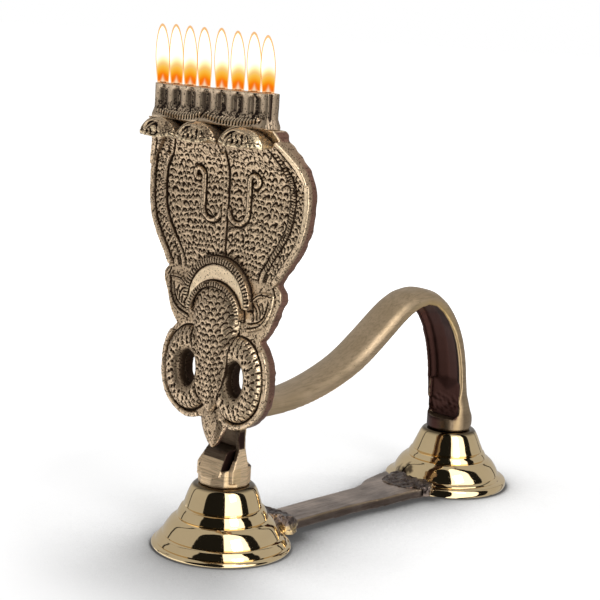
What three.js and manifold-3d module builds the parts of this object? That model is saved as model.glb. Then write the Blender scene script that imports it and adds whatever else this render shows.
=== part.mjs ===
// A brass cobra lamp for aarti: a cast hood with a row of eight wick sockets,
// carried on two turned bell feet by a short channel leg and an arched handle.
// Millimetres, +Z up. The origin is on the floor, midway between the two feet.
// The carved face looks along -Y and the handle runs back along +Y.

import * as THREE from 'three';
import { mergeVertices } from 'three/addons/utils/BufferGeometryUtils.js';
import Module from 'manifold-3d';

const wasm = await Module();
wasm.setup();

// Driving dimensions

const gap = 0.3; // clearance between castings that are cut to fit each other

const footSpacing = 130;
const footRadius = 25;
const footHeight = 23.1;
const footCrownRadius = 9.9;
const footWall = 1.7;
const footSides = 28;

const collarRadius = 9.35;
const collarHeight = 6.6;
const collarChamfer = 0.6;
const legFacets = 12;
const legHalfWidth = 7.0;
const legFrontDepth = 5.0;
const legBackDepth = 2.8;
const legWall = 1.5;
const legBackWall = 1.2;
const cheekDepth = 0.7; // how far the cheeks stand in front of the foot's axis
const legTop = 54.6;
const tongueHalfWidth = 5.3;
const tongueHeight = 5.6;
const filedDepth = 3.8; // how far below its top the collar's front is filed back
const filedRise = 6.6; // how far above the collar the filed slope reaches

const screwRadius = 2.0;
const screwHeadRadius = 3.7;
const screwHeadHeight = 2.4;
const screwGrip = 6.5;
const screwSlotWidth = 1.0;
const washerRadius = 5.0;
const washerThickness = 0.8;

const barHalfWidth = 7.4;
const barSkew = 0.9; // how far the bar lies to the left of the feet's axes
const barEarLeft = 15.4;
const barEarRight = 11.2;
const barThickness = 3.6;
const barLift = 0.4;
const solderReach = 9.0;
const solderHeight = 8.2;

const handleHalfWidth = 8.2;
const handleHeight = 6.3;
const handleEdge = 3.0;
const handleHollow = 3.2;
const handleLip = 1.4;
const rearLegSpread = 0.9; // how much wider the rear leg is, to each side, than the arch
const handleSpring = 46.8; // height of the handle's underside where it leaves the leg
const archHeight = 78.6; // height of the underside at the crown of the arch
const legInset = 6.8; // from the rear collar's axis forward to the handle's inner face

const plateThickness = 5.2;
const hoodFront = 5.5; // how far the hood's field stands in front of the foot's axis
const hoodWaistHeight = 125;
const plateLean = 0.038; // forward lean per millimetre below the hood's widest point
const curlStart = 131; // height where the hood begins to curl forward
const curlReach = 10.6; // how far forward the hood's top edge has curled
const plateTop = 150.2;
const hoodHalfWidth = 38.6;
const hoodTop = 146.6; // where the hood's curved side starts below the neck
const hoodFoot = 98.2; // where it ends above the ear
const earHalfWidth = 28.7;
const earTop = 96.0;
const earFoot = 78.0;
const coilTop = 75.8;
const coilBottom = 46.0;
const coilHalfWidth = 26.1;
const coilCentreX = 11.75;
const coilCentreZ = 63.7;
const holeHalfWidth = 3.0;
const holeHalfHeight = 5.4;
const loopHalfWidth = 12.2;
const loopHalfHeight = 15.2;
const loopRise = 3.2;

const borderWidth = 2.2;
const borderRise = 0.9;
const scaleColumn = 3.9; // width of the scaled strip between the border and the ridge
const ridgeWidth = 2.0;
const ridgeRise = 0.8;
const spineWidth = 2.4;
const curlWidth = 1.5;
const carvingRise = 0.8;
const shoulderWidth = 5.2; // of the border where it swells into the outer snake heads
const shoulderRise = 1.8;

const railPitch = 7.25;
const socketCount = 8;
const socketRadius = 3.15;
const socketBore = 2.3;
const socketDepth = 9.0;
const railHeight = 11.6;
const railBow = 1.4; // how far the middle sockets stand in front of the end ones
const railFlare = 0.9; // how far the row's foot spreads beyond the sockets
const railFlareHeight = 3.4;
const railPlinthHeight = 4.4; // where the flutes between the sockets start
const railCapHeight = 1.2; // of the level band above the flutes
const railWebHalfDepth = 1.9; // of the wall behind the flutes
const railSetback = 13.1; // from the foot's axis forward to the row's end sockets
const ropeRadius = 1.3;
const ropeSpan = 23;

const headPitch = 19.8;
const headHalfWidth = 9.6;
const headHeight = 6.9;
const headUnderside = 144.0;
const headFront = 24.6;
const headBrowDepth = 3.4;
const headBow = 1.2; // how far the outer heads stand behind the middle one
const headFan = 0.06; // radians between neighbouring heads
const neckLength = 19;
const neckTaper = 0.2; // narrowing of a neck for each millimetre of its length

const wickClearance = 0.4;
const wickStand = 5.4; // how far a wick stands above the socket's rim

// Finishes

function metal(color, roughness) {
  return new THREE.MeshStandardMaterial({ color, roughness, metalness: 1 });
}

const antiqueBrass = metal(0x8d7a58, 0.45);
const polishedBrass = metal(0xd9bd7c, 0.08);
const satinBrass = metal(0xa8946a, 0.32);
const dullBrass = metal(0x7d7062, 0.5);
const solderMetal = metal(0x857662, 0.42);
const screwBrass = metal(0xb59a5c, 0.35);
const cotton = new THREE.MeshStandardMaterial({ color: 0xe9e2d0, roughness: 1, metalness: 0 });

// Solids: closed three.js geometry in and out of the boolean library

function solid(geometry) {
  const plain = geometry.index ? geometry.toNonIndexed() : geometry.clone();
  plain.deleteAttribute('normal');
  plain.deleteAttribute('uv');
  const merged = mergeVertices(plain, 1e-4);
  const index = [];
  const source = merged.index.array;
  for (let i = 0; i < source.length; i += 3) {
    const [a, b, c] = [source[i], source[i + 1], source[i + 2]];
    if (a !== b && b !== c && c !== a) index.push(a, b, c);
  }
  return new wasm.Manifold(new wasm.Mesh({
    numProp: 3,
    vertProperties: new Float32Array(merged.attributes.position.array),
    triVerts: new Uint32Array(index),
  }));
}

function geometryOf(body) {
  const mesh = body.getMesh();
  const geometry = new THREE.BufferGeometry();
  geometry.setAttribute('position', new THREE.BufferAttribute(new Float32Array(mesh.vertProperties), 3));
  geometry.setIndex(new THREE.BufferAttribute(new Uint32Array(mesh.triVerts), 1));
  return geometry;
}

function join(...bodies) {
  return bodies.reduce((whole, body) => whole.add(body));
}

// Shapes and sweeps

const alongX = new THREE.Matrix4().makeBasis(
  new THREE.Vector3(0, 1, 0), new THREE.Vector3(0, 0, 1), new THREE.Vector3(1, 0, 0));

function shapeOf(points) {
  return new THREE.Shape(points.map(([x, y]) => new THREE.Vector2(x, y)));
}

// A profile drawn in X and Z, extruded from y = back forward to y = front.
function extrudeAcrossY(points, front, back) {
  const geometry = new THREE.ExtrudeGeometry(shapeOf(points), { depth: back - front, bevelEnabled: false });
  return geometry.rotateX(Math.PI / 2).translate(0, back, 0);
}

// A profile drawn in Y and Z, extruded along X to both sides of the middle plane.
function extrudeAcrossX(points, halfWidth) {
  const geometry = new THREE.ExtrudeGeometry(shapeOf(points), { depth: 2 * halfWidth, bevelEnabled: false });
  return geometry.applyMatrix4(alongX).translate(-halfWidth, 0, 0);
}

// A plan drawn in X and Y, extruded upwards.
function extrudeUp(points, bottom, top) {
  const geometry = new THREE.ExtrudeGeometry(shapeOf(points), { depth: top - bottom, bevelEnabled: false });
  return geometry.translate(0, 0, bottom);
}

// A closed profile of radius and height, turned about the vertical axis.
function turned(profile, sides) {
  const points = profile.map(([radius, height]) => new THREE.Vector2(radius, height));
  return new THREE.LatheGeometry(points, sides).rotateX(Math.PI / 2);
}

// The same geometry with every face turned, if its faces point inwards.
function facingOut(geometry) {
  const at = geometry.attributes.position;
  const index = geometry.index.array;
  const [a, b, c] = [new THREE.Vector3(), new THREE.Vector3(), new THREE.Vector3()];
  let volume = 0;
  for (let i = 0; i < index.length; i += 3) {
    a.fromBufferAttribute(at, index[i]);
    b.fromBufferAttribute(at, index[i + 1]);
    c.fromBufferAttribute(at, index[i + 2]);
    volume += a.dot(b.cross(c));
  }
  if (volume < 0) geometry.setIndex([...index].reverse());
  return geometry;
}

// A skin over a row of sections, each a ring of points with the same count. The row's ends
// are capped by the flat ring given, or it is joined end to end when there is none.
function loft(sections, capRing) {
  const count = sections[0].length;
  const positions = sections.flat().flatMap((point) => [point.x, point.y, point.z]);
  const index = [];
  const rows = capRing ? sections.length - 1 : sections.length;
  for (let row = 0; row < rows; row += 1) {
    const here = row * count;
    const next = ((row + 1) % sections.length) * count;
    for (let i = 0; i < count; i += 1) {
      const j = (i + 1) % count;
      index.push(here + i, here + j, next + j);
      index.push(here + i, next + j, next + i);
    }
  }
  if (capRing) {
    const last = (sections.length - 1) * count;
    for (const [a, b, c] of THREE.ShapeUtils.triangulateShape(capRing, [])) {
      index.push(a, c, b);
      index.push(last + a, last + b, last + c);
    }
  }
  const geometry = new THREE.BufferGeometry();
  geometry.setAttribute('position', new THREE.Float32BufferAttribute(positions, 3));
  geometry.setIndex(index);
  return facingOut(geometry);
}

function unitRing(count) {
  return Array.from({ length: count }, (_, i) => new THREE.Vector2(
    Math.cos(2 * Math.PI * i / count), Math.sin(2 * Math.PI * i / count)));
}

function splineThrough(points, count) {
  const curve = new THREE.SplineCurve(points.map(([x, y]) => new THREE.Vector2(x, y)));
  return curve.getPoints(count).map((point) => [point.x, point.y]);
}

function mirrored(points) {
  return points.map(([x, z]) => [-x, z]);
}

// The same open line moved sideways by a distance, to its left when positive.
function offsetLine(points, distance) {
  return points.map((point, i) => {
    const before = points[Math.max(i - 1, 0)];
    const after = points[Math.min(i + 1, points.length - 1)];
    const [dx, dz] = [after[0] - before[0], after[1] - before[1]];
    const length = Math.hypot(dx, dz);
    return [point[0] - distance * dz / length, point[1] + distance * dx / length];
  });
}

// The outline of a flat band of constant width that follows an open line.
function bandAlong(points, width) {
  return [...offsetLine(points, width / 2), ...offsetLine(points, -width / 2).reverse()];
}

// A band beside an open line, to its right, whose width changes evenly along it.
// It overlaps the line by a little on the left.
function bandBeside(points, startWidth, endWidth) {
  const overlap = 0.5;
  const aside = offsetLine(points, -1);
  const inner = points.map(([x, z], i) => {
    const width = startWidth + (endWidth - startWidth) * i / (points.length - 1);
    return [x + width * (aside[i][0] - x), z + width * (aside[i][1] - z)];
  });
  return [...offsetLine(points, overlap), ...inner.reverse()];
}

function oval(centreX, centreZ, halfWidth, halfHeight, count) {
  return Array.from({ length: count }, (_, i) => {
    const turn = 2 * Math.PI * i / count;
    return [centreX + halfWidth * Math.cos(turn), centreZ + halfHeight * Math.sin(turn)];
  });
}

// The plate's side profile: it leans forward below the hood and curls forward above it

function frontAt(height) {
  const lean = plateLean * Math.max(hoodWaistHeight - height, 0);
  const curl = curlReach * (Math.max(height - curlStart, 0) / (plateTop - curlStart)) ** 2;
  return -hoodFront - lean - curl;
}

function slopeAt(height) {
  const step = 0.5;
  return (frontAt(height + step) - frontAt(height - step)) / (2 * step);
}

function profileHeights() {
  const foot = 30;
  const straight = [foot, hoodWaistHeight];
  const curlSteps = 7;
  const above = plateTop + 4 - curlStart;
  const curved = Array.from({ length: curlSteps + 1 }, (_, i) => curlStart + above * i / curlSteps);
  return [...straight, ...curved];
}

// Everything within the plate's thickness, its front moved forward by proud
// and its back moved backward by behind.
function plateEnvelope(proud, behind = 0) {
  const shifted = (distance) => profileHeights().map((height) => {
    const slope = slopeAt(height);
    const length = Math.hypot(slope, 1);
    return [frontAt(height) + distance / length, height - distance * slope / length];
  });
  const front = shifted(-proud);
  const back = shifted(plateThickness + behind).reverse();
  return solid(extrudeAcrossX([...front, ...back], 2 * hoodHalfWidth));
}

// Points given as shares of a half-width and of the way up from bottom to top.
function shared(points, halfWidth, bottom, top) {
  return points.map(([across, up]) => [halfWidth * across, bottom + (top - bottom) * up]);
}

// The plate's outline, right half, from the top down to the crossing of the loops

const hoodSide = splineThrough(shared([
  [0.782, 1], [0.855, 0.913], [0.946, 0.806], [0.99, 0.698], [1, 0.574], [0.982, 0.43], [0.938, 0.314],
  [0.865, 0.211], [0.777, 0.112], [0.679, 0],
], hoodHalfWidth, hoodFoot, hoodTop), 22);

const earSide = splineThrough(shared([
  [0.99, 1], [1, 0.856], [0.937, 0.644], [0.882, 0.406], [0.822, 0.2], [0.711, 0],
], earHalfWidth, earFoot, earTop), 9);

const coilSide = splineThrough(shared([
  [0.866, 1], [0.958, 0.859], [1, 0.658], [0.985, 0.423], [0.908, 0.248], [0.774, 0.121], [0.598, 0.034],
  [0.421, 0], [0.253, 0.03],
], coilHalfWidth, coilBottom, coilTop), 16);

const neck = hoodSide[0][0];
const crotch = [0, coilBottom + 3.6]; // where the two loops meet above the tail
const rightSide = [[neck, plateTop], ...hoodSide, ...earSide, ...coilSide];
const plateOutline = [...rightSide, crotch, ...mirrored(rightSide).reverse()];

const faceFront = -60;
const faceBack = 20;

// A raised feature: its outline cut out of the plate and a little in front of it.
function raised(outline, rise) {
  return solid(extrudeAcrossY(outline, faceFront, faceBack)).intersect(plateEnvelope(rise));
}

function raisedPair(outline, rise) {
  return join(raised(outline, rise), raised(mirrored(outline).reverse(), rise));
}

function clippedTo(outline, body) {
  return body.intersect(solid(extrudeAcrossY(outline, faceFront, faceBack)));
}

// Hood: a plain border, a ticked ridge inside the scaled strip, a spine and two curls

function hoodBorder(spare) {
  const band = bandBeside(hoodSide, borderWidth + spare, borderWidth + spare);
  const shoulder = bandBeside(hoodSide.slice(0, 8), shoulderWidth + spare, borderWidth / 2);
  return join(raisedPair(band, borderRise + spare), raisedPair(shoulder, shoulderRise + spare));
}

function hoodBands() {
  const inset = borderWidth + scaleColumn + ridgeWidth / 2;
  const ridgeLine = offsetLine(hoodSide, -inset).slice(3, -2);
  const ridge = bandAlong(ridgeLine, ridgeWidth);
  const spine = bandAlong([[0, 140], [0, 102]], spineWidth);
  return join(hoodBorder(0), raisedPair(ridge, ridgeRise), raised(spine, carvingRise));
}

function curlLine() {
  const loopRadius = 2.7;
  const hookRadius = 4.6;
  const stemX = 11.0;
  const loopZ = 131.4;
  const hookZ = 121;
  const loopSteps = 8;
  const hookSteps = 6;
  const spiral = Array.from({ length: loopSteps }, (_, i) => {
    const turn = -0.6 * Math.PI + 1.6 * Math.PI * i / (loopSteps - 1);
    const radius = loopRadius * (0.45 + 0.55 * i / (loopSteps - 1));
    return [stemX + loopRadius + radius * Math.cos(turn), loopZ + radius * Math.sin(turn)];
  });
  const hook = Array.from({ length: hookSteps }, (_, i) => {
    const turn = -Math.PI * i / (hookSteps - 1);
    return [stemX - hookRadius + hookRadius * Math.cos(turn), hookZ + hookRadius * Math.sin(turn)];
  });
  return [...spiral, ...hook];
}

// Forehead: an arch of rope moulding over a smooth crescent, and a second arch inside it

function archLine(halfWidth, bottom, top, count) {
  return Array.from({ length: count + 1 }, (_, i) => {
    const turn = Math.PI * (1 - i / count);
    return [halfWidth * Math.cos(turn), bottom + (top - bottom) * Math.sin(turn)];
  });
}

const outerArch = { halfWidth: 15.2, bottom: 88.5, top: 103.4, width: 2.3, rise: 2.3 };
const innerArch = { halfWidth: 12.0, bottom: 84.5, top: 95.2, width: 1.8, rise: 3.4 };
const crescentRise = 1.7;

function archBand(arch) {
  return raised(bandAlong(archLine(arch.halfWidth, arch.bottom, arch.top, 16), arch.width), arch.rise);
}

function forehead() {
  const crescent = raised(archLine(outerArch.halfWidth, outerArch.bottom, outerArch.top, 16), crescentRise);
  return join(crescent, archBand(outerArch), archBand(innerArch));
}

// A rounded body laid on the plate's face, or set back from it: half-width and rise by height.
function reliefLoft(stations, count, depthBehind, setback = 0) {
  const ring = unitRing(count);
  const sections = stations.map(({ height, halfWidth, rise }) => ring.map((point) => {
    const reach = point.y > 0 ? depthBehind : rise;
    return new THREE.Vector3(halfWidth * point.x, frontAt(height) + setback + reach * point.y, height);
  }));
  return solid(loft(sections, ring));
}

// The scaled body that falls from the forehead between the loops of the coil
function snakeBody() {
  return reliefLoft([
    { height: 50.5, halfWidth: 1.6, rise: 2.0 },
    { height: 54.0, halfWidth: 4.2, rise: 3.0 },
    { height: 60.0, halfWidth: 6.4, rise: 3.6 },
    { height: 67.0, halfWidth: 7.6, rise: 3.9 },
    { height: 74.0, halfWidth: 9.2, rise: 4.1 },
    { height: 81.0, halfWidth: 11.2, rise: 4.3 },
    { height: 87.5, halfWidth: 11.4, rise: 4.2 },
    { height: 92.0, halfWidth: 9.4, rise: 3.6 },
    { height: 95.0, halfWidth: 5.0, rise: 2.6 },
  ], 14, 2);
}

// A loop of the coil: a rounded ring swept about its oval hole
function coilLoop() {
  const ringSteps = 24;
  const crown = [0, 0.16, 0.4, 0.68, 0.9, 1];
  const sections = Array.from({ length: ringSteps }, (_, i) => {
    const turn = 2 * Math.PI * i / ringSteps;
    const at = (share, depth) => {
      const reachX = holeHalfWidth + (loopHalfWidth - holeHalfWidth) * share;
      const reachZ = holeHalfHeight + (loopHalfHeight - holeHalfHeight) * share;
      const height = coilCentreZ + reachZ * Math.sin(turn);
      return new THREE.Vector3(coilCentreX + reachX * Math.cos(turn), frontAt(height) + depth, height);
    };
    const buried = 2;
    const top = crown.map((share) => at(share, -loopRise * Math.sin(Math.PI * share) ** 0.6));
    return [...top, at(1, buried), at(0, buried)];
  });
  return solid(loft(sections));
}

function mirroredBody(body) {
  return body.mirror([1, 0, 0]);
}

function coil() {
  const loop = coilLoop();
  const border = raisedPair(bandBeside(coilSide, 1.8, 1.8), borderRise);
  return join(loop, mirroredBody(loop), border);
}

// Ears: a veined leaf on each side of the forehead
function ears() {
  const tip = [25.6, 94.4];
  const upper = splineThrough([[15.6, 91.4], [19.6, 94.2], tip], 6);
  const lower = splineThrough([tip, [24.0, 88.0], [20.6, 83.6], [14.6, 81.4]], 8);
  const rim = bandAlong([...upper, ...lower.slice(1)], 1.1);
  return raisedPair(rim, carvingRise);
}

// The tail's tip: a pointed drop below the crossing of the loops
function tailDrop() {
  return reliefLoft([
    { height: 36.9, halfWidth: 0.8, rise: 0.9 },
    { height: 38.7, halfWidth: 2.7, rise: 2.0 },
    { height: 41.2, halfWidth: 4.4, rise: 2.8 },
    { height: 44.0, halfWidth: 5.8, rise: 3.2 },
    { height: 46.4, halfWidth: 6.6, rise: 3.4 },
    { height: 49.6, halfWidth: 5.4, rise: 3.6 },
    { height: 52.2, halfWidth: 3.0, rise: 3.8 },
    { height: 54.4, halfWidth: 1.2, rise: 3.6 },
  ], 12, 2, 2.8);
}

function hoodPlate() {
  const slab = raised(plateOutline, 0);
  const carving = join(
    hoodBands(), raisedPair(bandAlong(curlLine(), curlWidth), carvingRise), forehead(), snakeBody(), coil(), ears());
  const hole = solid(extrudeAcrossY(
    oval(coilCentreX, coilCentreZ, holeHalfWidth, holeHalfHeight, 20), faceFront, faceBack));
  const carved = slab.add(clippedTo(plateOutline, carving)).add(tailDrop());
  return carved.subtract(hole).subtract(mirroredBody(hole));
}

// Wick rail: eight sockets fused in a bowed row on a flanged foot

function socketPlaces() {
  const middle = (socketCount - 1) / 2;
  return Array.from({ length: socketCount }, (_, i) => {
    const share = (i - middle) / middle;
    return { x: (i - middle) * railPitch, y: -railSetback - railBow * (1 - share ** 2) };
  });
}

function railPlan(reach, count) {
  const places = socketPlaces();
  const front = offsetLine(places.map(({ x, y }) => [x, y]), -reach);
  const back = offsetLine(places.map(({ x, y }) => [x, y]), reach).reverse();
  const cap = (place, start) => Array.from({ length: count - 1 }, (_, i) => {
    const turn = start + Math.PI * (i + 1) / count;
    return [place.x + reach * Math.cos(turn), place.y + reach * Math.sin(turn)];
  });
  return [...front, ...cap(places.at(-1), -Math.PI / 2), ...back, ...cap(places[0], Math.PI / 2)];
}

function ropeMoulding(side) {
  const sag = 1.5;
  const steps = 7;
  const places = Array.from({ length: steps }, (_, i) => {
    const share = i / (steps - 1);
    const x = side * (1.2 + ropeSpan * share);
    const forward = railBow * (1 - (x / (railPitch * (socketCount - 1) / 2)) ** 2);
    const droop = 4 * sag * share * (1 - share);
    return new THREE.Vector3(x, -railSetback - forward - socketRadius, plateTop + ropeRadius + sag + 0.4 - droop);
  });
  const ring = Array.from({ length: 8 }, (_, i) => new THREE.Vector2(
    ropeRadius * Math.cos(Math.PI * i / 4), ropeRadius * Math.sin(Math.PI * i / 4)));
  const path = new THREE.CatmullRomCurve3(places);
  return solid(new THREE.ExtrudeGeometry(new THREE.Shape(ring), { steps: 10, extrudePath: path }));
}

function wickRail() {
  const top = plateTop + railHeight;
  const tube = turned([[0, plateTop], [socketRadius, plateTop], [socketRadius, top], [0, top]], 14);
  const bore = turned([[0, top - socketDepth], [socketBore, top - socketDepth], [socketBore, top + 1],
    [0, top + 1]], 12);
  const places = socketPlaces();
  const tubes = places.map(({ x, y }) => solid(tube.clone().translate(x, y, 0)));
  const bores = places.map(({ x, y }) => solid(bore.clone().translate(x, y, 0)));
  const web = solid(extrudeUp(railPlan(railWebHalfDepth, 4), plateTop, top - railCapHeight / 2));
  const cap = solid(extrudeUp(railPlan(socketRadius, 6), top - railCapHeight, top));
  return join(railFoot(), cap, web, ...tubes, ropeMoulding(-1), ropeMoulding(1)).subtract(join(...bores));
}

// The row's foot: it spreads below the flutes and lies flat on the plate's top edge
function railFoot() {
  const widths = [
    [0, socketRadius + railFlare], [0.3 * railFlareHeight, socketRadius + railFlare],
    [railFlareHeight, socketRadius], [railPlinthHeight, socketRadius],
  ];
  const sections = widths.map(([height, reach]) => railPlan(reach, 6).map(([x, y]) => (
    new THREE.Vector3(x, y, plateTop + height))));
  const ring = railPlan(socketRadius, 6).map(([x, y]) => new THREE.Vector2(x, y));
  return solid(loft(sections, ring));
}

// Snake heads: half domes with stepped brows round an eye, fanned under the rail

function snakeHead(place) {
  const brow = [
    [0, 1], [0.17, 0.96], [0.23, 0.76], [0.38, 0.72], [0.44, 0.9], [0.56, 0.86],
    [0.62, 0.64], [0.73, 0.56], [0.78, 0.68], [0.87, 0.5], [0.93, 0.3], [1, 0.08],
  ].map(([radius, depth]) => [radius * headHalfWidth, depth * headBrowDepth]);
  const neckRadius = headHalfWidth - neckLength * neckTaper;
  const profile = [[0, -neckLength], [neckRadius, -neckLength], [headHalfWidth, 0], ...brow.reverse()];
  const dome = turned(profile, 28).rotateX(Math.PI / 2);
  dome.scale(1, 1, headHeight / headHalfWidth);
  dome.rotateZ(place * headFan);
  dome.translate(place * headPitch, headBow * place ** 2 + headBrowDepth - headFront, headUnderside);
  const railFront = -railSetback - railBow - socketRadius - 2 * ropeRadius;
  const aboveAll = plateTop + railHeight;
  const room = solid(extrudeAcrossX([
    [faceFront, headUnderside], [faceBack, headUnderside], [faceBack, plateTop - gap],
    [railFront, plateTop - gap], [railFront, aboveAll], [faceFront, aboveAll],
  ], 2 * hoodHalfWidth));
  return solid(dome).intersect(room).subtract(plateEnvelope(gap, faceBack)).subtract(hoodBorder(gap));
}

// Front leg: a filed collar with a channel above it that holds the plate's back

function frontLeg() {
  const bottom = footHeight;
  const shoulder = bottom + collarHeight;
  const collar = turned([[0, bottom], [collarRadius - collarChamfer, bottom], [collarRadius, bottom + collarChamfer],
    [collarRadius, shoulder], [0, shoulder]], legFacets).rotateZ(Math.PI / legFacets);
  const taper = [
    [collarRadius - 0.3, bottom + 2], [collarRadius - 0.3, shoulder + 0.6], [legHalfWidth + 0.2, shoulder + 7.2],
    [legHalfWidth, shoulder + 11], [legHalfWidth + 1, legTop - 4], [legHalfWidth, legTop],
  ];
  const side = [
    [-legFrontDepth, bottom + 2], [-legFrontDepth, shoulder], [-cheekDepth, shoulder + filedRise],
    [-cheekDepth, coilBottom - 1.8], [-legFrontDepth, coilBottom], [-legFrontDepth, legTop],
    [legBackDepth, legTop], [legBackDepth, bottom + 2],
  ];
  const inner = [
    [tongueHalfWidth + 0.2, shoulder - 1.4], [tongueHalfWidth + 1.5, shoulder],
    [tongueHalfWidth + 1.4, shoulder + 3.6], [legHalfWidth - legWall, shoulder + 7.4],
    [legHalfWidth - legWall, legTop + 1],
  ];
  const body = solid(extrudeAcrossY([...taper, ...mirrored(taper).reverse()], -legFrontDepth, legBackDepth))
    .intersect(solid(extrudeAcrossX(side, 2 * legHalfWidth)));
  const channel = solid(extrudeAcrossY([...inner, ...mirrored(inner).reverse()],
    faceFront, legBackDepth - legBackWall));
  const tongueBack = legBackDepth - legBackWall / 2;
  const tongue = solid(extrudeAcrossX([
    [-collarRadius + 1, shoulder - 2.4], [-legFrontDepth, shoulder + tongueHeight],
    [-legFrontDepth + 1.6, shoulder + tongueHeight + 0.7], [tongueBack, shoulder + tongueHeight + 1.4],
    [tongueBack, shoulder - 2.4],
  ], tongueHalfWidth));
  const filed = solid(extrudeAcrossX([
    [faceFront, shoulder - filedDepth], [-collarRadius, shoulder - filedDepth],
    [-legFrontDepth + 0.8, shoulder + filedRise], [faceFront, shoulder + filedRise],
  ], 2 * collarRadius));
  const bore = screwBore(bottom);
  const coilLine = coilBottom - gap;
  const aboveCoil = solid(extrudeAcrossX([
    [faceFront, coilLine], [faceBack, coilLine], [faceBack, 2 * legTop], [faceFront, 2 * legTop],
  ], 2 * hoodHalfWidth));
  const lap = plateEnvelope(-faceFront, gap).intersect(aboveCoil);
  return solid(collar).add(body).subtract(channel).add(tongue).subtract(join(bore, lap, filed));
}

// The tapped hole in a collar, as a plain bore with the screw's clearance
function screwBore(bottom) {
  const radius = screwRadius + gap;
  const end = bottom + screwGrip + gap;
  return solid(turned([[0, bottom - 1], [radius, bottom - 1], [radius, end], [0, end]], 16));
}

// Handle: a crescent section swept up from the leg, over the arch and down to a round collar

// The underside of the arch: shares of the way to the rear foot and of the arch's rise
const archShares = [
  [0.108, 0], [0.192, 0.013], [0.29, 0.075], [0.388, 0.186], [0.486, 0.352], [0.582, 0.601], [0.672, 0.855],
  [0.731, 0.972], [0.782, 1], [0.836, 0.925], [0.894, 0.686], [0.931, 0.403], [0.955, 0.025], [0.957, -0.258],
];

function handlePath() {
  const collarTop = footHeight + collarHeight;
  const rearFace = footSpacing - legInset;
  const arch = archShares.map(([along, rise]) => new THREE.Vector2(
    along * footSpacing, handleSpring + rise * (archHeight - handleSpring)));
  return new THREE.SplineCurve([
    new THREE.Vector2(legBackDepth, handleSpring),
    ...arch,
    new THREE.Vector2(rearFace, collarTop + 3.5),
    new THREE.Vector2(rearFace, collarTop - 1.6),
  ]);
}

const crownSteps = 6;
const hollowSteps = 4;

// Where each point of the crescent goes on the round collar, in degrees
function roundAngle(i) {
  const side = 14; // the edge of the crown, below the collar's widest line
  const lip = 38; // the corner beside the channel
  const channelEdge = 55;
  if (i <= crownSteps) return -side + (180 + 2 * side) * i / crownSteps;
  if (i === crownSteps + 1) return 180 + lip;
  if (i === crownSteps + hollowSteps + 3) return 360 - lip;
  const step = i - crownSteps - 2;
  return 180 + channelEdge + (180 - 2 * channelEdge) * step / hollowSteps;
}

// The crescent: a crown between two flat edges outside, a shallow channel inside
function crescentRing() {
  const inside = handleHalfWidth - handleLip;
  const ring = [];
  for (let i = 0; i <= crownSteps; i += 1) {
    const turn = Math.PI * i / crownSteps;
    ring.push([handleHalfWidth * Math.cos(turn), handleEdge + (handleHeight - handleEdge) * Math.sin(turn)]);
  }
  ring.push([-handleHalfWidth, 0]);
  for (let i = 0; i <= hollowSteps; i += 1) {
    const turn = Math.PI * (1 - i / hollowSteps);
    ring.push([inside * Math.cos(turn), handleHollow * Math.sin(turn)]);
  }
  ring.push([handleHalfWidth, 0]);
  return ring.map(([across, out]) => new THREE.Vector2(across, out));
}

function handle() {
  const steps = 30;
  const flareStart = 0.91; // shares of the path over which the crescent turns round
  const flareEnd = 0.985;
  const path = handlePath();
  const crescent = crescentRing();
  const reach = collarRadius - 0.1;
  const round = crescent.map((_, i) => {
    const turn = THREE.MathUtils.degToRad(roundAngle(i));
    return new THREE.Vector2(reach * Math.cos(turn), legInset + reach * Math.sin(turn));
  });
  const sections = Array.from({ length: steps + 1 }, (_, step) => {
    const along = step / steps;
    const at = path.getPointAt(along);
    const tangent = path.getTangentAt(along);
    const flare = Math.min(1, Math.max(0, (along - flareStart) / (flareEnd - flareStart)));
    const blend = flare * flare * (3 - 2 * flare);
    const spread = 1 + rearLegSpread / handleHalfWidth * Math.min(1, Math.max(0, (along - 0.6) / 0.2));
    return crescent.map((point, i) => {
      const ringPoint = new THREE.Vector2(point.x * spread, point.y).lerp(round[i], blend);
      return new THREE.Vector3(ringPoint.x, at.x - tangent.y * ringPoint.y, at.y + tangent.x * ringPoint.y);
    });
  });
  const top = footHeight + collarHeight;
  const collar = turned([[0, footHeight], [collarRadius - collarChamfer, footHeight],
    [collarRadius, footHeight + collarChamfer], [collarRadius, top - collarChamfer],
    [collarRadius - 0.2, top], [0, top]], footSides);
  collar.translate(0, footSpacing, 0);
  const bore = screwBore(footHeight).translate([0, footSpacing, 0]);
  return solid(loft(sections, crescent)).add(solid(collar)).subtract(join(bore, channelFoot()));
}

// The channel's lower end, cut square into the front of the rear collar
function channelFoot() {
  const halfWidth = handleHalfWidth + rearLegSpread - handleLip;
  const bottom = footHeight + collarHeight - 1;
  const top = bottom + 15;
  const corner = 1.8;
  const rim = [[halfWidth, top], [halfWidth, bottom + corner], [halfWidth - corner, bottom]];
  const front = footSpacing - collarRadius - 1;
  return solid(extrudeAcrossY([...rim, ...mirrored(rim).reverse()], front, footSpacing - legInset + handleHollow));
}

// Feet: thin turned bells, each with its own mouldings, open underneath

function frontFootSkin() {
  return [
    [footCrownRadius - 0.4, footHeight], [footCrownRadius, footHeight - 0.3], [11.3, 21.7], [12.9, 18.3],
    [14.0, 15.2], [13.8, 14.6], [14.5, 14.1], [16.3, 11.5], [15.9, 10.9], [17.0, 10.5], [19.2, 8.0],
    [21.3, 5.1], [21.2, 4.6], [22.8, 3.2], [23.8, 2.2], [23.7, 1.8],
    [footRadius - 0.3, 1.5], [footRadius, 1.0], [footRadius, 0.5], [footRadius - 0.5, 0],
  ];
}

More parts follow.
